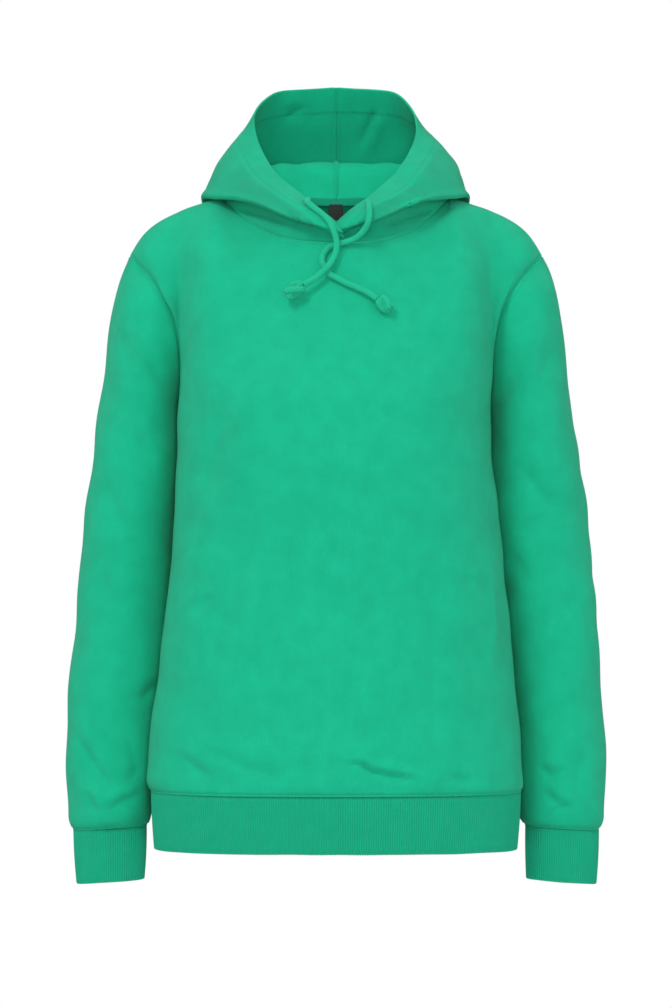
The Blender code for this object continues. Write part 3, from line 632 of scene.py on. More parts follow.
def clothPiece(name, outer, wall, up, across, closed=False, rounded=()):
    # Two skins, wall apart, joined round the open edges; rounded edges get a fold's round lip
    normals = gridNormals(outer, closed)
    inner = outer - normals * np.broadcast_to(wall, outer.shape[:2])[..., None]
    rows, columns = outer.shape[:2]
    last = columns - 1 if closed else columns
    places = [outer[:, :last], inner[:, :last]]
    count = rows * last
    verts = np.concatenate([grid.reshape(-1, 3) for grid in places])
    row, column = np.meshgrid(np.arange(rows - 1), np.arange(columns - 1), indexing="ij")
    after = (column + 1) % last
    quads = np.stack([row * last + column, row * last + after, (row + 1) * last + after,
                      (row + 1) * last + column], axis=-1).reshape(-1, 4)
    u, v = np.meshgrid(across, up)
    corner = [np.stack([u[row + dr, column + dc], v[row + dr, column + dc]], axis=-1)
              for dr, dc in ((0, 0), (0, 1), (1, 1), (1, 0))]
    map4 = np.stack(corner, axis=2).reshape(-1, 4, 2)
    faces = [quads, quads[:, ::-1] + count]
    maps = [map4, map4[:, ::-1]]
    slots = [np.zeros(len(quads), int), np.ones(len(quads), int)]
    edges = {"bottom": (np.arange(columns), 0, 0, -1), "top": (np.arange(columns), rows - 1, 0, 1)}
    if not closed:
        edges["left"] = (np.arange(rows), 0, 1, -1)
        edges["right"] = (np.arange(rows), columns - 1, 1, 1)
    extra = []
    for edge, (line, fixed, axis, way) in edges.items():
        at = (np.full(len(line), fixed), line % last if closed else line)
        if axis:
            at = (line, np.full(len(line), fixed))
        ids = [at[0] * last + at[1]]
        if edge in rounded:
            beside = (at[0] - way, at[1]) if axis == 0 else (at[0], at[1] - way)
            beyond = unit(outer[at] - outer[beside])
            middle = (outer[at] + inner[at]) / 2
            half = (outer[at] - inner[at]) / 2
            size = np.linalg.norm(half, axis=-1, keepdims=True)
            for turn in lipTurns:
                angle = turn * math.pi
                ids.append(count * 2 + sum(len(part) for part in extra) + np.arange(len(line)))
                if closed:
                    ids[-1][-1] = ids[-1][0]
                extra.append(middle + half * math.cos(angle) + beyond * size * math.sin(angle))
        ids.append(at[0] * last + at[1] + count)
        uvLine = np.stack([u[at[0] if axis else fixed, line if axis == 0 else fixed],
                           v[at[0] if axis else fixed, line if axis == 0 else fixed]], axis=-1)
        for near, far in zip(ids, ids[1:]):
            strip = np.stack([near[:-1], near[1:], far[1:], far[:-1]], axis=-1)
            lineMap = np.stack([uvLine[:-1], uvLine[1:], uvLine[1:], uvLine[:-1]], axis=1)
            turned = edge in ("bottom", "right")
            faces.append(strip[:, ::-1] if turned else strip)
            maps.append(lineMap[:, ::-1] if turned else lineMap)
            slots.append(np.zeros(len(strip), int))
    if extra:
        verts = np.concatenate([verts] + extra)
    faces, maps, slots = np.concatenate(faces), np.concatenate(maps), np.concatenate(slots)
    mesh = bpy.data.meshes.new(name)
    mesh.from_pydata(verts.tolist(), [], faces.tolist())
    mesh.uv_layers.new(name="cloth").data.foreach_set("uv", maps.reshape(-1).astype(np.float32))
    mesh.polygons.foreach_set("material_index", slots.astype(np.int32))
    mesh.shade_smooth()
    fixed = bmesh.new()
    fixed.from_mesh(mesh)
    loose = [vert for vert in fixed.verts if not vert.link_faces]
    bmesh.ops.delete(fixed, geom=loose, context="VERTS")
    fixed.to_mesh(mesh)
    fixed.free()
    return addObject(name, mesh)


seam = {"roll": 0.0013, "rollWidth": 0.0036, "tuck": 0.0012, "tuckDepth": 0.0014,
        "still": 0.014, "ungathered": 0.004}


def edgeDistance(up, across, edges):
    rows, columns = len(up), len(across)
    far = np.full((rows, columns), 1.0)
    lines = {"bottom": (up - up[0])[:, None], "top": (up[-1] - up)[:, None],
             "left": (across - across[0])[None], "right": (across[-1] - across)[None]}
    for edge in edges:
        far = np.minimum(far, np.broadcast_to(lines[edge], far.shape))
    return far


def seamed(points, normals, up, across, seams, closed=False):
    # The cloth rolls in at its seams and its edge tucks under the next piece
    far = edgeDistance(up, across, seams)
    points = points - normals * (seam["roll"] * (1 - ease(far, 0, seam["rollWidth"])))[..., None]
    for edge in seams:
        axis = 0 if edge in ("bottom", "top") else 1
        low = edge in ("bottom", "left")
        line, beside = (0, 1) if low else (-1, -2)
        lines, ways = np.moveaxis(points, axis, 0), np.moveaxis(normals, axis, 0)
        beyond = unit(lines[line] - lines[beside])
        under = lines[line] + beyond * seam["tuck"] - ways[line] * seam["tuckDepth"]
        lines = np.concatenate([under[None], lines] if low else [lines, under[None]])
        ways = np.concatenate([ways[:1], ways] if low else [ways, ways[-1:]])
        points, normals = np.moveaxis(lines, 0, axis), np.moveaxis(ways, 0, axis)
        distances = up if axis == 0 else across
        step = seam["tuck"] + seam["tuckDepth"]
        if low:
            distances = np.append(distances[0] - step, distances)
        else:
            distances = np.append(distances, distances[-1] + step)
        if axis == 0:
            up = distances
        else:
            across = distances
    return points, up, across


def finishPiece(made, materials, node=None):
    for material in materials:
        made.data.materials.append(material)
    if node:
        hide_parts(node)
    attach(made, "root")
    return made


# grown details
def newTree(name, *sockets):  # each socket is (name, kind, value)
    tree = bpy.data.node_groups.new(name, "GeometryNodeTree")
    tree.interface.new_socket(name="Geometry", in_out="INPUT", socket_type="NodeSocketGeometry")
    tree.interface.new_socket(name="Geometry", in_out="OUTPUT", socket_type="NodeSocketGeometry")
    for label, kind, value in sockets:
        socket = tree.interface.new_socket(name=label, in_out="INPUT", socket_type="NodeSocket" + kind)
        if value is not None:
            socket.default_value = value
    return tree, addNode(tree, "NodeGroupInput").outputs, addNode(tree, "NodeGroupOutput")


def wire(tree, kind, inputs=(), **settings):  # a node with its inputs joined or set
    made = addNode(tree, kind, **settings)
    for key, value in dict(inputs).items():
        socket = made.inputs[key]
        if hasattr(value, "is_linked"):
            tree.links.new(value, socket)
        else:
            socket.default_value = value
    return made


def vectorMath(tree, operation, first, second=None, scale=None):
    made = addNode(tree, "ShaderNodeVectorMath", operation=operation)
    tree.links.new(first, made.inputs[0])
    if second is not None:
        tree.links.new(second, made.inputs[1])
    if scale is not None:
        tree.links.new(scale, made.inputs["Scale"])
    return made.outputs[0]


def resampled(tree, curve, step):
    return wire(tree, "GeometryNodeResampleCurve", {"Curve": curve, "Length": step}, mode="LENGTH")


def swept(tree, curve, radius, corners):  # a round bar along the curve
    ring = wire(tree, "GeometryNodeCurvePrimitiveCircle", {"Resolution": corners, "Radius": radius})
    return wire(tree, "GeometryNodeCurveToMesh", {
        "Curve": curve, "Profile Curve": ring.outputs[0], "Fill Caps": True})


def closeTree(tree, output, geometry, material):
    realized = wire(tree, "GeometryNodeRealizeInstances", {"Geometry": geometry})
    smooth = wire(tree, "GeometryNodeSetShadeSmooth", {"Geometry": realized.outputs[0]})
    dressed = wire(tree, "GeometryNodeSetMaterial", {
        "Geometry": smooth.outputs[0], "Material": material})
    tree.links.new(dressed.outputs[0], output.inputs["Geometry"])


def grown(source, tree, name, values):  # the tree's result on source, as a plain mesh object
    modifier = source.modifiers.new("grow", "NODES")
    modifier.node_group = tree
    for item in tree.interface.items_tree:
        if item.in_out == "INPUT" and item.name in values:
            modifier[item.identifier] = values[item.name]
    bpy.context.view_layer.update()
    evaluated = source.evaluated_get(bpy.context.evaluated_depsgraph_get())
    mesh = bpy.data.meshes.new_from_object(evaluated)
    source.modifiers.remove(modifier)
    bpy.data.objects.remove(source, do_unlink=True)
    mesh.name = name
    return addObject(name, mesh)


def pathObject(name, points, closed=False):  # a curve through the points, as a source for a tree
    curve = bpy.data.curves.new(name, "CURVE")
    curve.dimensions = "3D"
    curve.twist_mode = "MINIMUM"
    spline = curve.splines.new("POLY")
    spline.points.add(len(points) - 1)
    for point, place in zip(spline.points, points):
        point.co = (*place, 1.0)
    spline.use_cyclic_u = closed
    return addObject(name, curve)


braidShape = {"core": 0.94, "coreCorners": 10, "strandCorners": 7}


def braidTree():
    # Strands that run both ways round a path, each over and under the others
    tree, given, output = newTree(
        "braid", ("Strands", "Int", 16), ("Radius", "Float", 0.0024),
        ("Strand radius", "Float", 0.0008), ("Turns per metre", "Float", 48.0),
        ("Weave height", "Float", 0.0003), ("Step", "Float", 0.0010), ("Material", "Material", None))
    base = resampled(tree, given["Geometry"], given["Step"])
    coreRadius = times(tree, given["Radius"], braidShape["core"])
    core = swept(tree, base.outputs[0], coreRadius, braidShape["coreCorners"])
    copies = wire(tree, "GeometryNodeDuplicateElements", {
        "Geometry": base.outputs[0], "Amount": given["Strands"]}, domain="SPLINE")
    index = copies.outputs["Duplicate Index"]
    way = sums(tree, "SUBTRACT", times(tree, sums(tree, "MODULO", index, 2.0), 2.0), 1.0)
    half = times(tree, given["Strands"], 0.5)
    pair = sums(tree, "FLOOR", times(tree, index, 0.5))
    phase = times(tree, sums(tree, "DIVIDE", pair, half), 2 * math.pi)
    length = addNode(tree, "GeometryNodeSplineParameter").outputs["Length"]
    turn = times(tree, times(tree, length, given["Turns per metre"]), 2 * math.pi)
    angle = sums(tree, "ADD", times(tree, turn, way), phase)
    weave = times(tree, sums(tree, "COSINE", times(tree, turn, half)), way)
    reach = sums(tree, "ADD", given["Radius"], times(tree, weave, given["Weave height"]))
    normal = addNode(tree, "GeometryNodeInputNormal").outputs[0]
    tangent = addNode(tree, "GeometryNodeInputTangent").outputs[0]
    beside = vectorMath(tree, "CROSS_PRODUCT", tangent, normal)
    first = vectorMath(tree, "SCALE", normal, scale=sums(tree, "COSINE", angle))
    second = vectorMath(tree, "SCALE", beside, scale=sums(tree, "SINE", angle))
    offset = vectorMath(tree, "SCALE", vectorMath(tree, "ADD", first, second), scale=reach)
    moved = wire(tree, "GeometryNodeSetPosition", {"Geometry": copies.outputs[0], "Offset": offset})
    strands = swept(tree, moved.outputs[0], given["Strand radius"], braidShape["strandCorners"])
    joined = addNode(tree, "GeometryNodeJoinGeometry")
    tree.links.new(core.outputs[0], joined.inputs[0])
    tree.links.new(strands.outputs[0], joined.inputs[0])
    closeTree(tree, output, joined.outputs[0], given["Material"])
    return tree


def stitchTree():
    # Short rounded stitches laid end to end along a path
    tree, given, output = newTree(
        "stitches", ("Pitch", "Float", 0.0032), ("Length", "Float", 0.0024),
        ("Thickness", "Float", 0.0006), ("Material", "Material", None))
    spaced = resampled(tree, given["Geometry"], given["Pitch"])
    tangent = addNode(tree, "GeometryNodeInputTangent").outputs[0]
    facing = wire(tree, "FunctionNodeAlignRotationToVector", {"Vector": tangent}, axis="Z")
    bead = wire(tree, "GeometryNodeMeshUVSphere", {"Segments": 8, "Rings": 6, "Radius": 0.5})
    size = addNode(tree, "ShaderNodeCombineXYZ")
    tree.links.new(given["Thickness"], size.inputs[0])
    tree.links.new(given["Thickness"], size.inputs[1])
    tree.links.new(given["Length"], size.inputs[2])
    placed = wire(tree, "GeometryNodeInstanceOnPoints", {
        "Points": spaced.outputs[0], "Instance": bead.outputs[0], "Rotation": facing.outputs[0],
        "Scale": size.outputs[0]})
    closeTree(tree, output, placed.outputs[0], given["Material"])
    return tree


def ribTree():
    # Upright ribs raised on a band, with narrow grooves between them
    tree, given, output = newTree(
        "ribs", ("Ribs", "Float", 420.0), ("Depth", "Float", 0.0009), ("Material", "Material", None))
    around = wire(tree, "GeometryNodeInputNamedAttribute", {"Name": "around"}, data_type="FLOAT")
    turn = times(tree, times(tree, around.outputs[0], given["Ribs"]), math.pi)
    crown = sums(tree, "POWER", sums(tree, "ABSOLUTE", sums(tree, "SINE", turn)), 0.6)
    groove = times(tree, sums(tree, "SUBTRACT", crown, 1.0), given["Depth"])
    normal = addNode(tree, "GeometryNodeInputNormal").outputs[0]
    offset = vectorMath(tree, "SCALE", normal, scale=groove)
    moved = wire(tree, "GeometryNodeSetPosition", {"Geometry": given["Geometry"], "Offset": offset})
    closeTree(tree, output, moved.outputs[0], given["Material"])
    return tree


braiding, stitching, ribbing = braidTree(), stitchTree(), ribTree()


# the drawcord
drawcord = {
    "diameter": 0.0063, "radius": 0.00225, "strandRadius": 0.00064, "strands": 16, "turns": 62.0,
    "weave": 0.00030, "step": 0.0008, "points": 90,
    "routes": {
        "right": (
            (-0.0275, -0.0755, -0.0064), (-0.0283, -0.0868, -0.0088), (-0.0242, -0.0932, -0.0134),
            (-0.0142, -0.0968, -0.0210), (-0.0066, -0.0993, -0.0296), (-0.0020, -0.1006, -0.0391),
            (0.0005, -0.1006, -0.0485), (0.0000, -0.1008, -0.0579), (-0.0037, -0.1036, -0.0673),
            (-0.0103, -0.1086, -0.0757), (-0.0196, -0.1098, -0.0845), (-0.0317, -0.1118, -0.0916),
        ),
        "left": (
            (0.0312, -0.0826, -0.0096), (0.0322, -0.0926, -0.0123), (0.0327, -0.0996, -0.0207),
            (0.0312, -0.1004, -0.0306), (0.0263, -0.0968, -0.0388), (0.0187, -0.0930, -0.0453),
            (0.0094, -0.0922, -0.0489), (0.0010, -0.0920, -0.0508), (-0.0066, -0.0926, -0.0538),
            (-0.0122, -0.0948, -0.0604), (-0.0137, -0.0978, -0.0677), (-0.0103, -0.1008, -0.0745),
            (-0.0066, -0.1040, -0.0806), (0.0010, -0.1068, -0.0850), (0.0103, -0.1076, -0.0900),
            (0.0215, -0.1090, -0.0947), (0.0318, -0.1108, -0.0997), (0.0401, -0.1126, -0.1056),
        ),
    },
}
knot = {"halfLength": {"right": 0.0103, "left": 0.0086}, "seamGap": 0.0003, "ring": 0.00158,
        "points": 90, "radius": 0.00200, "strandRadius": 0.00095, "strands": 8, "turns": 95.0,
        "weave": 0.00060, "step": 0.0007}


def braided(name, points, size, closed=False):
    return grown(pathObject(name, points, closed), braiding, name, {
        "Strands": size["strands"], "Radius": size["radius"], "Strand radius": size["strandRadius"],
        "Turns per metre": size["turns"], "Weave height": size["weave"], "Step": size["step"],
        "Material": braidFace})


def knotPath(start, direction, halfLength):  # a tight overhand knot, drawn out along the cord
    turn = np.linspace(0, 2 * math.pi, knot["points"], endpoint=False)
    reach = knot["ring"] * (2 + np.cos(3 * turn))
    lift = halfLength - knot["radius"] - knot["strandRadius"]
    path = np.stack(
        [reach * np.cos(2 * turn), reach * np.sin(2 * turn), lift * np.sin(3 * turn)], axis=1)
    turned = np.array(Vector(direction).to_track_quat("Z", "Y").to_matrix())
    return path @ turned.T + start + direction * (halfLength + knot["seamGap"])


def addDrawcord(side):
    route = drawcord["routes"][side]
    knots = lengthsAlong(route)
    path = through(knots, route, np.linspace(0, knots[-1], drawcord["points"]))
    made = braided("drawcord" + side.capitalize(), path, drawcord)
    direction = path[-1] - path[-2]
    direction /= np.linalg.norm(direction)
    tied = braided("knot" + side.capitalize(),
                   knotPath(path[-1], direction, knot["halfLength"][side]), knot, closed=True)
    finishPiece(made, (), "drawcord_" + side)
    finishPiece(tied, (), "knot_" + side)


for side in ("right", "left"):
    addDrawcord(side)


# the cloth pieces
Skin = namedtuple("Skin", "points normals up across")
skins = {}  # each piece's outer surface, for what is sewn on it


def onCloth(skin, up, across, lift):  # points on the skin at these distances up and across it
    row = np.interp(up, skin.up, range(len(skin.up)))
    column = np.interp(across, skin.across, range(len(skin.across)))
    low = np.clip(row.astype(int), 0, len(skin.up) - 2)
    left = np.clip(column.astype(int), 0, len(skin.across) - 2)
    r, c = (row - low)[:, None], (column - left)[:, None]
    found = []
    for grid in (skin.points, skin.normals):
        near = grid[low, left] * (1 - c) + grid[low, left + 1] * c
        far = grid[low + 1, left] * (1 - c) + grid[low + 1, left + 1] * c
        found.append(near * (1 - r) + far * r)
    return found[0] + unit(found[1]) * lift


def creased(points, up, across, seams, piece, closed=False):
    # The given folds, then soft waves, both fading out at the seams
    normals = gridNormals(points, closed)
    still = ease(edgeDistance(up, across, seams), 0.0, seam["still"])
    out = foldedOut(points, normals, piece.get("frontFolds", ()), True)
    out += foldedOut(points, normals, piece.get("backFolds", ()), False)
    out *= piece["relief"]
    for size, height, seed in piece["waves"]:
        out += height * softNoise(points, size, seed)
    gathers = piece.get("gathers")
    if gathers:  # the fullness drawn in at a seam
        near = edgeDistance(up, across, (gathers["edge"],))
        stretch = np.array([1, 1, gathers["stretch"]])
        wave = softNoise(points * stretch, gathers["size"], gathers["seed"])
        fading = np.exp(-near / gathers["reach"]) * ease(near, 0, seam["ungathered"])
        out += gathers["height"] * wave * fading
    return points + normals * (out * still)[..., None]


def flatArea(skin):
    rows = np.linalg.norm(np.diff(skin.points, axis=0), axis=-1)
    columns = np.linalg.norm(np.diff(skin.points, axis=1), axis=-1)
    return float((rows[:, 1:] * columns[1:]).sum())


def makeCloth(name, form, piece, seams, node, closed=False, extra=(), rounded=(), wallAt=None):
    grid, up, across = refined(form, piece["step"], seams, closed, extra)
    if wallAt is not None:
        grid = evenRim(grid, up)
    grid = creased(grid, up, across, seams, piece, closed)
    normals = gridNormals(grid, closed)
    skin = Skin(grid, normals, up, across)
    grid, up, across = seamed(grid, normals, up, across, seams, closed)
    wall = piece["wall"] if wallAt is None else wallAt(up)[:, None]
    made = clothPiece(name, grid, wall, up, across, closed, rounded)
    finishPiece(made, (fleeceFace, fleeceInside), node)
    print(name, 2 * len(made.data.polygons), "triangles,", round(skin.up[-1], 3), "x",
          round(skin.across[-1], 3), "m,", round(flatArea(skin), 4), "m2")
    skins[name] = skin


frontBody = {
    "wall": 0.0020, "step": 0.0031, "relief": 1.6, "flat": (0.517, 0.596), "area": 0.295,
    "waves": ((0.150, 0.0024, 11), (0.060, 0.0008, 12)),
    "gathers": {"edge": "bottom", "size": 0.040, "stretch": 0.45,
                "height": 0.0011, "reach": 0.022, "seed": 13},
    "frontFolds": (
        Fold(0.0036, 0.0034, 0.7, ((0.0020, -0.5598), (0.0244, -0.5598), (0.0322, -0.5666),
             (0.0566, -0.5715), (0.0860, -0.5770))),
        Fold(0.0050, 0.0020, 0.5, ((0.1100, -0.5716), (0.1330, -0.5800))),
        Fold(0.0060, 0.0017, 0.5, ((-0.1400, -0.4145), (-0.1190, -0.3915))),
        Fold(0.0140, 0.0026, 0.6, ((-0.0750, -0.3160), (-0.0860, -0.3480), (-0.1035, -0.3997),
             (-0.1152, -0.4348), (-0.1240, -0.4700))),
        Fold(0.0160, 0.0024, 0.5, ((-0.1030, -0.1900), (-0.1180, -0.2450), (-0.1330, -0.3080))),
        Fold(0.0200, 0.0018, 0.5, ((-0.0370, -0.2780), (-0.0220, -0.3500), (-0.0060, -0.4250))),
        Fold(0.0090, 0.0016, 0.5, ((-0.1350, -0.5410), (-0.0900, -0.5640), (-0.0380, -0.5800))),
        Fold(0.0060, 0.0018, 0.5, ((-0.1600, -0.5490), (-0.1200, -0.5770))),
        Fold(0.0130, 0.0016, 0.7, ((0.0915, -0.3400), (0.0940, -0.4600), (0.0960, -0.5760))),
        Fold(0.0070, -0.0016, 0.3, ((0.1510, -0.3600), (0.1550, -0.4260), (0.1530, -0.4800))),
        Fold(0.0060, 0.0014, 0.5, ((0.1240, -0.3760), (0.1340, -0.3870))),
    ),
}
backBody = {
    "wall": 0.0020, "step": 0.0033, "relief": 1.5, "flat": (0.444, 0.609), "area": 0.26,
    "waves": ((0.150, 0.0024, 21), (0.060, 0.0008, 22)),
    "gathers": {"edge": "bottom", "size": 0.040, "stretch": 0.45,
                "height": 0.0012, "reach": 0.024, "seed": 23},
    "backFolds": (
        Fold(0.0055, 0.0030, 0.7, ((-0.0900, -0.5560), (-0.0500, -0.5640), (-0.0080, -0.5730))),
        Fold(0.0070, 0.0022, 0.6, ((0.0500, -0.5690), (0.1000, -0.5560))),
        Fold(0.0150, 0.0026, 0.6, ((0.0900, -0.3200), (0.1080, -0.3900), (0.1180, -0.4600))),
        Fold(0.0150, 0.0022, 0.6, ((-0.0980, -0.3300), (-0.1080, -0.4200), (-0.1100, -0.5000))),
        Fold(0.0160, 0.0024, 0.5, ((0.1050, -0.1800), (0.1230, -0.2400), (0.1340, -0.3000))),
        Fold(0.0160, 0.0022, 0.5, ((-0.1000, -0.1850), (-0.1200, -0.2400), (-0.1320, -0.3100))),
        Fold(0.0200, 0.0018, 0.5, ((-0.0200, -0.2200), (-0.0080, -0.3200), (0.0100, -0.4200))),
        Fold(0.0070, 0.0018, 0.5, ((0.1350, -0.5350), (0.1580, -0.5600))),
    ),
}
sleeveGathers = {"edge": "top", "size": 0.034, "stretch": 0.5, "height": 0.0016, "reach": 0.020}
sleeveCloth = {"wall": 0.0020, "step": 0.0030, "relief": 1.3, "flat": (0.324, 0.524), "area": 0.167}
sleeveLeft = {
    **sleeveCloth, "waves": ((0.120, 0.0019, 31), (0.050, 0.0009, 32)),
    "gathers": {**sleeveGathers, "seed": 33},
    "frontFolds": (
        Fold(0.0050, 0.0030, 0.6, ((0.2000, -0.5660), (0.2160, -0.5770), (0.2350, -0.5650))),
        Fold(0.0045, 0.0028, 0.6, ((0.2050, -0.5900), (0.2200, -0.6030), (0.2380, -0.6110))),
        Fold(0.0040, 0.0022, 0.5, ((0.2040, -0.6200), (0.2180, -0.6120), (0.2330, -0.6060))),
        Fold(0.0060, 0.0022, 0.5, ((0.2480, -0.5500), (0.2400, -0.5820), (0.2440, -0.6050))),
        Fold(0.0110, 0.0026, 0.6, ((0.1750, -0.2600), (0.2050, -0.2950), (0.2270, -0.3200))),
        Fold(0.0110, 0.0022, 0.5, ((0.1720, -0.3500), (0.1960, -0.3900))),
        Fold(0.0160, 0.0020, 0.5, ((0.2480, -0.3300), (0.2300, -0.4100), (0.2250, -0.4800))),
        Fold(0.0130, 0.0022, 0.5, ((0.2200, -0.1350), (0.2020, -0.1850), (0.1880, -0.2250))),
    ),
    "backFolds": (
        Fold(0.0055, 0.0028, 0.6, ((0.2480, -0.5750), (0.2230, -0.5930), (0.2000, -0.5800))),
        Fold(0.0130, 0.0026, 0.6, ((0.2500, -0.3000), (0.2200, -0.3600), (0.2050, -0.4200))),
        Fold(0.0100, 0.0022, 0.5, ((0.1900, -0.4700), (0.2250, -0.5150))),
        Fold(0.0130, 0.0022, 0.5, ((0.2250, -0.1500), (0.1950, -0.2200))),
    ),
}
sleeveRight = {
    **sleeveCloth, "waves": ((0.120, 0.0019, 41), (0.050, 0.0009, 42)),
    "gathers": {**sleeveGathers, "seed": 43},
    "frontFolds": (
        Fold(0.0080, 0.0028, 0.6, ((-0.2120, -0.2210), (-0.1990, -0.2430), (-0.1780, -0.2750))),
        Fold(0.0110, 0.0024, 0.5, ((-0.2300, -0.2760), (-0.2220, -0.3050), (-0.2110, -0.3400))),
        Fold(0.0060, 0.0030, 0.7, ((-0.2640, -0.5300), (-0.2450, -0.5600), (-0.2220, -0.5950))),
        Fold(0.0050, 0.0028, 0.5, ((-0.2300, -0.6120), (-0.2100, -0.6010), (-0.1920, -0.5950))),
        Fold(0.0070, 0.0022, 0.5, ((-0.1960, -0.5050), (-0.1770, -0.4800))),
        Fold(0.0050, 0.0022, 0.5, ((-0.2520, -0.5900), (-0.2380, -0.6160))),
        Fold(0.0070, 0.0018, 0.5, ((-0.2100, -0.5300), (-0.2000, -0.5700), (-0.2120, -0.5950))),
        Fold(0.0170, 0.0020, 0.5, ((-0.2440, -0.3300), (-0.2330, -0.4000), (-0.2380, -0.4700))),
        Fold(0.0130, 0.0020, 0.5, ((-0.2170, -0.1300), (-0.2020, -0.1800))),
    ),
    "backFolds": (
        Fold(0.0055, 0.0028, 0.6, ((-0.2480, -0.5800), (-0.2230, -0.5950), (-0.2020, -0.5850))),
        Fold(0.0130, 0.0026, 0.6, ((-0.2450, -0.2900), (-0.2150, -0.3500), (-0.2000, -0.4100))),
        Fold(0.0100, 0.0022, 0.5, ((-0.1950, -0.4600), (-0.2300, -0.5100))),
        Fold(0.0130, 0.0022, 0.5, ((-0.2250, -0.1600), (-0.1950, -0.2250))),
    ),
}
hoodCloth = {"step": 0.0026, "relief": 1.3, "flat": (0.23, 0.38), "area": 0.085}
hoodFolds = {
    "left": {
        "waves": ((0.090, 0.0010, 51), (0.035, 0.0004, 52)),
        "backFolds": (
            Fold(0.0050, -0.0032, 0.6, ((0.0420, 0.1020), (0.0330, 0.0800), (0.0230, 0.0560))),
            Fold(0.0050, -0.0016, 0.4, ((0.0100, 0.0210), (0.0400, 0.0200))),
        ),
        "frontFolds": (
            Fold(0.0040, 0.0038, 0.0, ((0.1040, -0.0130), (0.0880, -0.0160), (0.0690, -0.0230),
                 (0.0420, -0.0340)), 0.2, 0.4),
            Fold(0.0070, 0.0013, 0.5, ((0.0600, 0.0260), (0.0700, 0.0120), (0.0850, 0.0040))),
        ),
    },
    "right": {
        "waves": ((0.090, 0.0010, 61), (0.035, 0.0004, 62)),
        "backFolds": (
            Fold(0.0070, -0.0018, 0.4, ((-0.0550, 0.0900), (-0.0300, 0.1030))),
            Fold(0.0050, -0.0016, 0.4, ((-0.0450, 0.0200), (-0.0120, 0.0190))),
        ),
        "frontFolds": (
            Fold(0.0040, 0.0038, 0.0, ((-0.1040, -0.0130), (-0.0880, -0.0160), (-0.0690, -0.0230),
                 (-0.0400, -0.0350)), 0.2, 0.4),
            Fold(0.0028, 0.0014, 0.5, ((-0.0520, -0.0180), (-0.0400, -0.0250), (-0.0330, -0.0330))),
            Fold(0.0070, 0.0013, 0.5, ((-0.0830, 0.0300), (-0.0960, 0.0130), (-0.1100, 0.0060))),
        ),
    },
}
allSeams = ("bottom", "top", "left", "right")


def evenRim(grid, up):  # rows near the rim keep one distance from it on every column
    fromRim = (up[-1] - up)[::-1]
    made = grid.copy()
    for column in range(grid.shape[1]):
        line = grid[::-1, column]
        lengths = lengthsAlong(line)
        band = min(hood["even"], hood["evenShare"] * lengths[-1])
        near = fromRim * band / hood["even"]
        rest = (fromRim - hood["even"]) * (lengths[-1] - band) / (fromRim[-1] - hood["even"])
        target = np.where(fromRim <= hood["even"], near, band + rest)
        made[::-1, column] = through(lengths, line, target)
    return made


def tunnelWall(up):  # the rim is turned in and stitched down, so it is two layers thick there
    fromRim = up[-1] - up
    return hood["wall"] + hood["tunnelWall"] * (
        1 - ease(fromRim, hood["tunnel"], hood["tunnel"] + hood["tunnelEdge"]))


makeCloth("frontBody", bodyForm("front"), frontBody, allSeams, "front_body")
makeCloth("backBody", bodyForm("back"), backBody, allSeams, "back_body")
sleeveShape = sleeveForm()
makeCloth("sleeveLeft", sleeveShape, sleeveLeft, ("bottom", "top"), "sleeve_left", closed=True)
makeCloth("sleeveRight", (sleeveShape * mirrorX)[:, ::-1], sleeveRight, ("bottom", "top"),
          "sleeve_right", closed=True)
rimRows = (hood["tunnel"] + hood["tunnelRow"], hood["tunnel"], hood["rimRow"])
hoodShapes = {"left": hoodForm(False)[:, ::-1], "right": hoodForm(True) * mirrorX}
for side, centre in (("left", "right"), ("right", "left")):
    makeCloth("hood" + side.capitalize(), hoodShapes[side], {**hoodCloth, **hoodFolds[side]},
              ("bottom", centre), "hood_" + side, extra=rimRows, rounded=("top", side),
              wallAt=tunnelWall)


# the ribbed bands
hemRib = {"ribs": 420, "perRib": 6, "rows": 10, "wall": 0.0028, "depth": 0.0009,
          "wave": 0.0004, "seed": 71, "flat": (0.967, 0.056)}
cuffRib = {"ribs": 85, "perRib": 8, "rows": 11, "wall": 0.0028, "depth": 0.0009,
           "wave": 0.0008, "seed": 81, "flat": (0.207, 0.053)}
bandShape = {"waveSize": 0.060, "waveStretch": 0.4, "waveAtSeam": 0.25,  # slow waves round the band
             "edgeSize": 0.045, "edge": 0.0002, "belly": 0.0005, "samples": 4001}


def evenRing(ring, count):  # the ring's points, evenly spaced, the last on the first again
    dense = ring(np.linspace(0, 1, bandShape["samples"]))
    lengths = lengthsAlong(dense)
    even = np.linspace(0, lengths[-1], count + 1)
    points = np.stack([np.interp(even, lengths, dense[:, axis]) for axis in range(3)], axis=1)
    return points, lengths[-1]


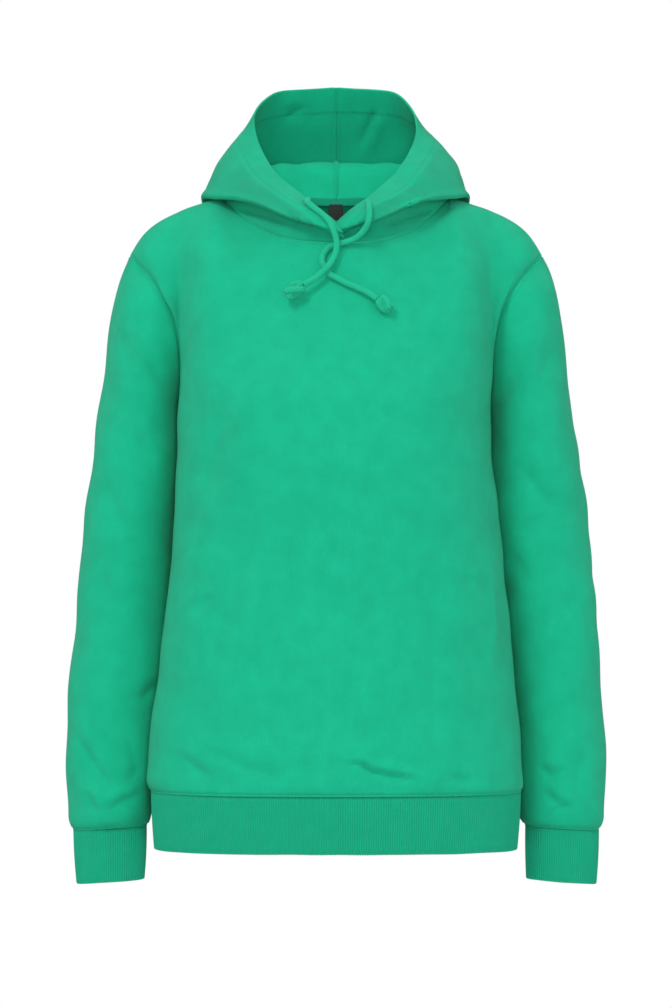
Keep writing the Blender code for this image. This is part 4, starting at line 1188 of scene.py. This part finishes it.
def addRibBand(name, firstRing, lastRing, band, free, node):
    # Rows run from firstRing to lastRing; free names the row end that shows its rounded edge
    columns = band["ribs"] * band["perRib"]
    first, length = evenRing(firstRing, columns)
    last, _ = evenRing(lastRing, columns)
    share = np.linspace(0, 1, band["rows"])[:, None, None]
    grid = first + (last - first) * share
    deep = np.linalg.norm(last - first, axis=1).mean()
    up, across = share.ravel() * deep, np.linspace(0, length, columns + 1)
    normals = gridNormals(grid, True)
    loose = share if free == "top" else 1 - share
    stretch = np.array([1, 1, bandShape["waveStretch"]])
    wave = softNoise(grid * stretch, bandShape["waveSize"], band["seed"])[..., None]
    held = bandShape["waveAtSeam"]
    grid = grid + normals * wave * band["wave"] * (held + (1 - held) * loose)
    low = softNoise(grid[:1] * np.array([1, 1, 0]), bandShape["edgeSize"], band["seed"] + 1)[..., None]
    way = 1 if free == "top" else -1
    grid = grid + (last - first) / deep * low * bandShape["edge"] * loose * way
    grid = grid + normals * (bandShape["belly"] * np.sin(share * math.pi))
    made = clothPiece(name + "Plain", grid, band["wall"], up, across, True, (free,))
    count = len(made.data.vertices)
    around = np.tile(np.arange(columns, dtype=np.float32) / columns, count // columns)
    made.data.attributes.new("around", "FLOAT", "POINT").data.foreach_set("value", around)
    made = grown(made, ribbing, name, {
        "Ribs": float(band["ribs"]), "Depth": band["depth"], "Material": ribFace})
    finishPiece(made, (), node)
    print(name, len(made.data.polygons), "faces", round(length, 3), "x", round(deep, 3), "m")


low, high = hemSections
addRibBand("hemRib", lambda t: sectionRing(low, t * 360), lambda t: sectionRing(high, t * 360),
           hemRib, "bottom", "hem_rib")
addRibBand("cuffLeft", lambda t: sleeveRing(cuffRings[1], t), lambda t: sleeveRing(cuffRings[0], t),
           cuffRib, "top", "cuff_left")
addRibBand("cuffRight", lambda t: sleeveRing(cuffRings[1], 1 - t) * mirrorX,
           lambda t: sleeveRing(cuffRings[0], 1 - t) * mirrorX, cuffRib, "top", "cuff_right")


# trims: the neck tape, the label, the seams' sunk edges and the stitching
tape = {"width": 0.0080, "inset": 0.0029, "low": -0.0052, "wall": 0.0008, "reach": 3.6,
        "columns": 150, "rows": 9, "flat": (0.26, 0.010), "area": 0.0021,
        "twill": 0.00025, "pitch": 0.0016, "slant": 2.4}
label = {"width": 0.0140, "drop": 0.0150, "top": -0.0030, "thickness": 0.0006,
         "gap": 0.0007, "sag": 0.0004, "columns": 15, "rows": 15}


def addTape():
    stations = np.linspace(0, tape["reach"], tape["columns"] + 1)
    half = through(range(len(neckSeam)), neckSeam, stations)
    line = np.vstack([half[:0:-1] * mirrorX, half])
    outward = unit(np.cross((0.0, 0.0, 1.0), np.gradient(line, axis=0)))
    share = np.linspace(0, 1, tape["rows"])[:, None, None]
    grid = (line - outward * tape["inset"] + np.array([0, 0, tape["low"]]))[None]
    grid = grid + np.array([0, 0, tape["width"]]) * share
    along = lengthsAlong(line)
    slanted = along[None] / tape["pitch"] + np.abs(share[..., 0] - 0.5) * tape["slant"]
    twill = np.sin(2 * math.pi * slanted)
    grid = grid + outward[None] * (twill * tape["twill"])[..., None]
    up = share.ravel() * tape["width"]
    made = clothPiece("neckTape", grid[:, ::-1], tape["wall"], up, along)
    finishPiece(made, (tapeFace, tapeFace), "neck_tape")


def addLabel():
    across = np.linspace(-0.5, 0.5, label["columns"]) * label["width"]
    down = np.linspace(0, 1, label["rows"])
    x, share = np.meshgrid(across, 1 - down)
    front = neckSeam[0][1] - tape["inset"] - tape["wall"] - label["gap"]
    y = front - label["sag"] * np.sin(share * math.pi) * (1 - (2 * x / label["width"]) ** 2)
    z = label["top"] - share * label["drop"]
    grid = np.stack([x, y, z], axis=-1)
    made = clothPiece("neckLabel", grid, label["thickness"], down * label["drop"],
                      across + label["width"], rounded=("bottom",))
    finishPiece(made, (labelFace, labelFace), "neck_label")


addTape()
addLabel()

sewing = {"edge": 0.00115, "sunk": 0.0014,  # the turned edges' radius and depth under the cloth
          "pitch": 0.0030, "length": 0.0023, "thickness": 0.00055, "lift": 0.0001,
          "insideLift": -0.0021, "besideCentre": 0.0040, "besideTunnel": 0.0022,
          "besideArmhole": 0.0034, "ends": 0.002, "tunnelEnds": 0.004, "points": 400}


def tubeTree():
    tree, given, output = newTree("tube", ("Radius", "Float", 0.001), ("Material", "Material", None))
    tube = swept(tree, given["Geometry"], given["Radius"], 8)
    closeTree(tree, output, tube.outputs[0], given["Material"])
    return tree


tubing = tubeTree()


def joined(name, parts, slot):
    mesh = bpy.data.meshes.new(name)
    whole = bmesh.new()
    for part in parts:
        whole.from_mesh(part.data)
    whole.to_mesh(mesh)
    whole.free()
    mesh.materials.append(threadFace)
    mesh.polygons.foreach_set("material_index", np.zeros(len(mesh.polygons), np.int32))
    mesh.shade_smooth()
    for part in parts:
        bpy.data.objects.remove(part, do_unlink=True)
    return finishPiece(addObject(name, mesh), ())


def addSeamEdges():  # the turned edges that close each seam, just under the surface
    lines = []

    def edgeLine(skin, *where):
        lines.append(skin.points[where] - skin.normals[where] * sewing["sunk"])

    for name in ("frontBody", "backBody"):
        for end in (0, -1):
            edgeLine(skins[name], end)
        for end in (0, -1):
            edgeLine(skins[name], slice(None), end)
    for name in ("sleeveLeft", "sleeveRight"):
        for end in (0, -1):
            edgeLine(skins[name], end)
    for name, centre in (("hoodLeft", -1), ("hoodRight", 0)):
        edgeLine(skins[name], 0)
        edgeLine(skins[name], slice(None, -2), centre)
    tube = {"Radius": sewing["edge"], "Material": threadFace}
    edges = [grown(pathObject("edge", line), tubing, "edge", tube) for line in lines]
    joined("seamEdges", edges, "fleece")


def rowOf(skin, fixed, value, start, end, lift):  # a line on the cloth, fixed in one of its distances
    run = np.linspace(start, end, sewing["points"])
    level = np.full(sewing["points"], value)
    return onCloth(skin, level, run, lift) if fixed == "up" else onCloth(skin, run, level, lift)


def addStitching():
    lines = []
    for name in ("hoodLeft", "hoodRight"):
        skin = skins[name]
        beside, ends, side = sewing["besideCentre"], sewing["ends"], sewing["tunnelEnds"]
        beside = skin.across[-1] - beside if name == "hoodLeft" else beside
        for lift in (sewing["lift"], sewing["insideLift"]):
            lines.append(rowOf(skin, "across", beside, ends, skin.up[-1] - ends, lift))
        tunnel = skin.up[-1] - hood["tunnel"] + sewing["besideTunnel"]
        lines.append(rowOf(skin, "up", tunnel, side, skin.across[-1] - side, sewing["lift"]))
    for name in ("sleeveLeft", "sleeveRight"):
        skin = skins[name]
        lines.append(rowOf(skin, "up", sewing["besideArmhole"], 0.0, skin.across[-1], sewing["lift"]))
    stitch = {"Pitch": sewing["pitch"], "Length": sewing["length"], "Thickness": sewing["thickness"],
              "Material": threadFace}
    rows = [grown(pathObject("row", line), stitching, "row", stitch) for line in lines]
    joined("stitching", rows, "fleece")


addSeamEdges()
addStitching()

slit = {"length": 0.0110, "width": 0.0022, "turn": {"right": 90.0, "left": 8.0},
        "corners": 60, "lift": 0.0002,
        "stitch": {"Pitch": 0.0008, "Length": 0.0007, "Thickness": 0.0013, "Material": threadFace},
        "gap": 0.0007, "shadowReach": 0.42, "shadowPoints": 12, "shadowLift": 0.0004}
# painted shadow: a dark tube along each slit's middle stands in for the shade inside the slit; gap is
# its radius
slitShade = newMaterial("slit shadow", 0.95, 0.0, (1, 1, 1), (0.002, 0.075, 0.042))[0]


def addSlits():  # buttonhole stitches round the slit that each cord end leaves by, and a dark tube along each slit as its painted shadow
    parts, gaps = [], []
    for side, skin in (("right", skins["hoodRight"]), ("left", skins["hoodLeft"])):
        place = np.array(drawcord["routes"][side][0])
        distance = np.linalg.norm(skin.points - place, axis=-1)
        distance[skin.normals[..., 1] > 0] = 1.0
        row, column = np.unravel_index(np.argmin(distance), distance.shape)
        centre, out = skin.points[row, column], skin.normals[row, column]
        along = unit(np.cross(out, (0.0, 0.0, 1.0)))
        upward = np.cross(along, out)
        angle = math.radians(slit["turn"][side])
        long = along * math.cos(angle) + upward * math.sin(angle)
        short = np.cross(out, long)
        turns = np.linspace(0, 2 * math.pi, slit["corners"], endpoint=False)
        ring = centre + out * slit["lift"] + np.outer(np.cos(turns), long) * slit["length"] / 2
        ring = ring + np.outer(np.sin(turns), short) * slit["width"] / 2
        parts.append(grown(pathObject("slit", ring, True), stitching, "slit", slit["stitch"]))
        reach = np.linspace(-slit["shadowReach"], slit["shadowReach"], slit["shadowPoints"])
        middle = centre + out * slit["shadowLift"] + np.outer(reach, long) * slit["length"]
        # painted shadow: a dark tube laid just above the cloth along the slit, in place of the shade
        # inside it
        gaps.append(grown(pathObject("gap", middle), tubing, "gap", {
            "Radius": slit["gap"], "Material": slitShade}))
    joined("slitStitches", parts, "fleece")
    # the painted slit shadows, joined as one object
    joined("slitShadowTubes", gaps, "fleece").data.materials[0] = slitShade


addSlits()
print("stitching and slits ready")

# a plain pale floor under the garment, which hangs clear of it
floor = {"height": -1.05, "radius": 2.1, "corners": 128, "colour": (0.68, 0.68, 0.68)}


def addFloor():
    mesh = bpy.data.meshes.new("floor")
    disc = bmesh.new()
    bmesh.ops.create_circle(disc, cap_ends=True, segments=floor["corners"], radius=floor["radius"])
    bmesh.ops.translate(disc, verts=disc.verts, vec=(0.0, 0.0, floor["height"]))
    disc.to_mesh(mesh)
    disc.free()
    mesh.materials.append(newMaterial("floor", 0.9, 0.0, (1, 1, 1), floor["colour"])[0])
    addObject("floor", mesh)


addFloor()

# light, and a white backdrop that only the camera sees
light = {
    "key": {"place": (-1.3, -2.7, 2.3), "size": 1.1, "power": 55.0},
    "fill": {"place": (2.2, -2.8, 0.4), "size": 2.4, "power": 14.0},
    "front": {"place": (0.1, -4.7, 0.0), "size": 1.2, "power": 63.0},
    "aim": (0.0, 0.0, -0.30),
    "world": {"From Min": -0.4, "From Max": 0.5, "To Min": 0.40, "To Max": 0.76},
}


def addLight(name, values):
    lamp = bpy.data.lights.new(name, "AREA")
    lamp.shape = "DISK"
    lamp.size = values["size"]
    lamp.energy = values["power"]
    made = addObject(name, lamp)
    made.location = values["place"]
    aim = Vector(light["aim"]) - made.location
    made.rotation_euler = aim.to_track_quat("-Z", "Y").to_euler()


def addWorld():  # brighter from above; the camera itself sees plain white
    world = bpy.data.worlds.new("studio")
    world.use_nodes = True
    sky = world.node_tree
    generated = addNode(sky, "ShaderNodeTexCoord").outputs["Generated"]
    upward = wire(sky, "ShaderNodeSeparateXYZ", {0: generated}).outputs["Z"]
    glow = wire(sky, "ShaderNodeMapRange", {"Value": upward, **light["world"]})
    seen = addNode(sky, "ShaderNodeLightPath").outputs["Is Camera Ray"]
    background = sky.nodes["Background"]
    sky.links.new(sums(sky, "MAXIMUM", glow.outputs[0], seen), background.inputs["Strength"])
    background.inputs["Color"].default_value = (1, 1, 1, 1)
    bpy.context.scene.world = world


for name in ("key", "fill", "front"):
    addLight(name, light[name])
addWorld()
bpy.context.scene.view_settings.view_transform = "Standard"
print("light and floor ready")
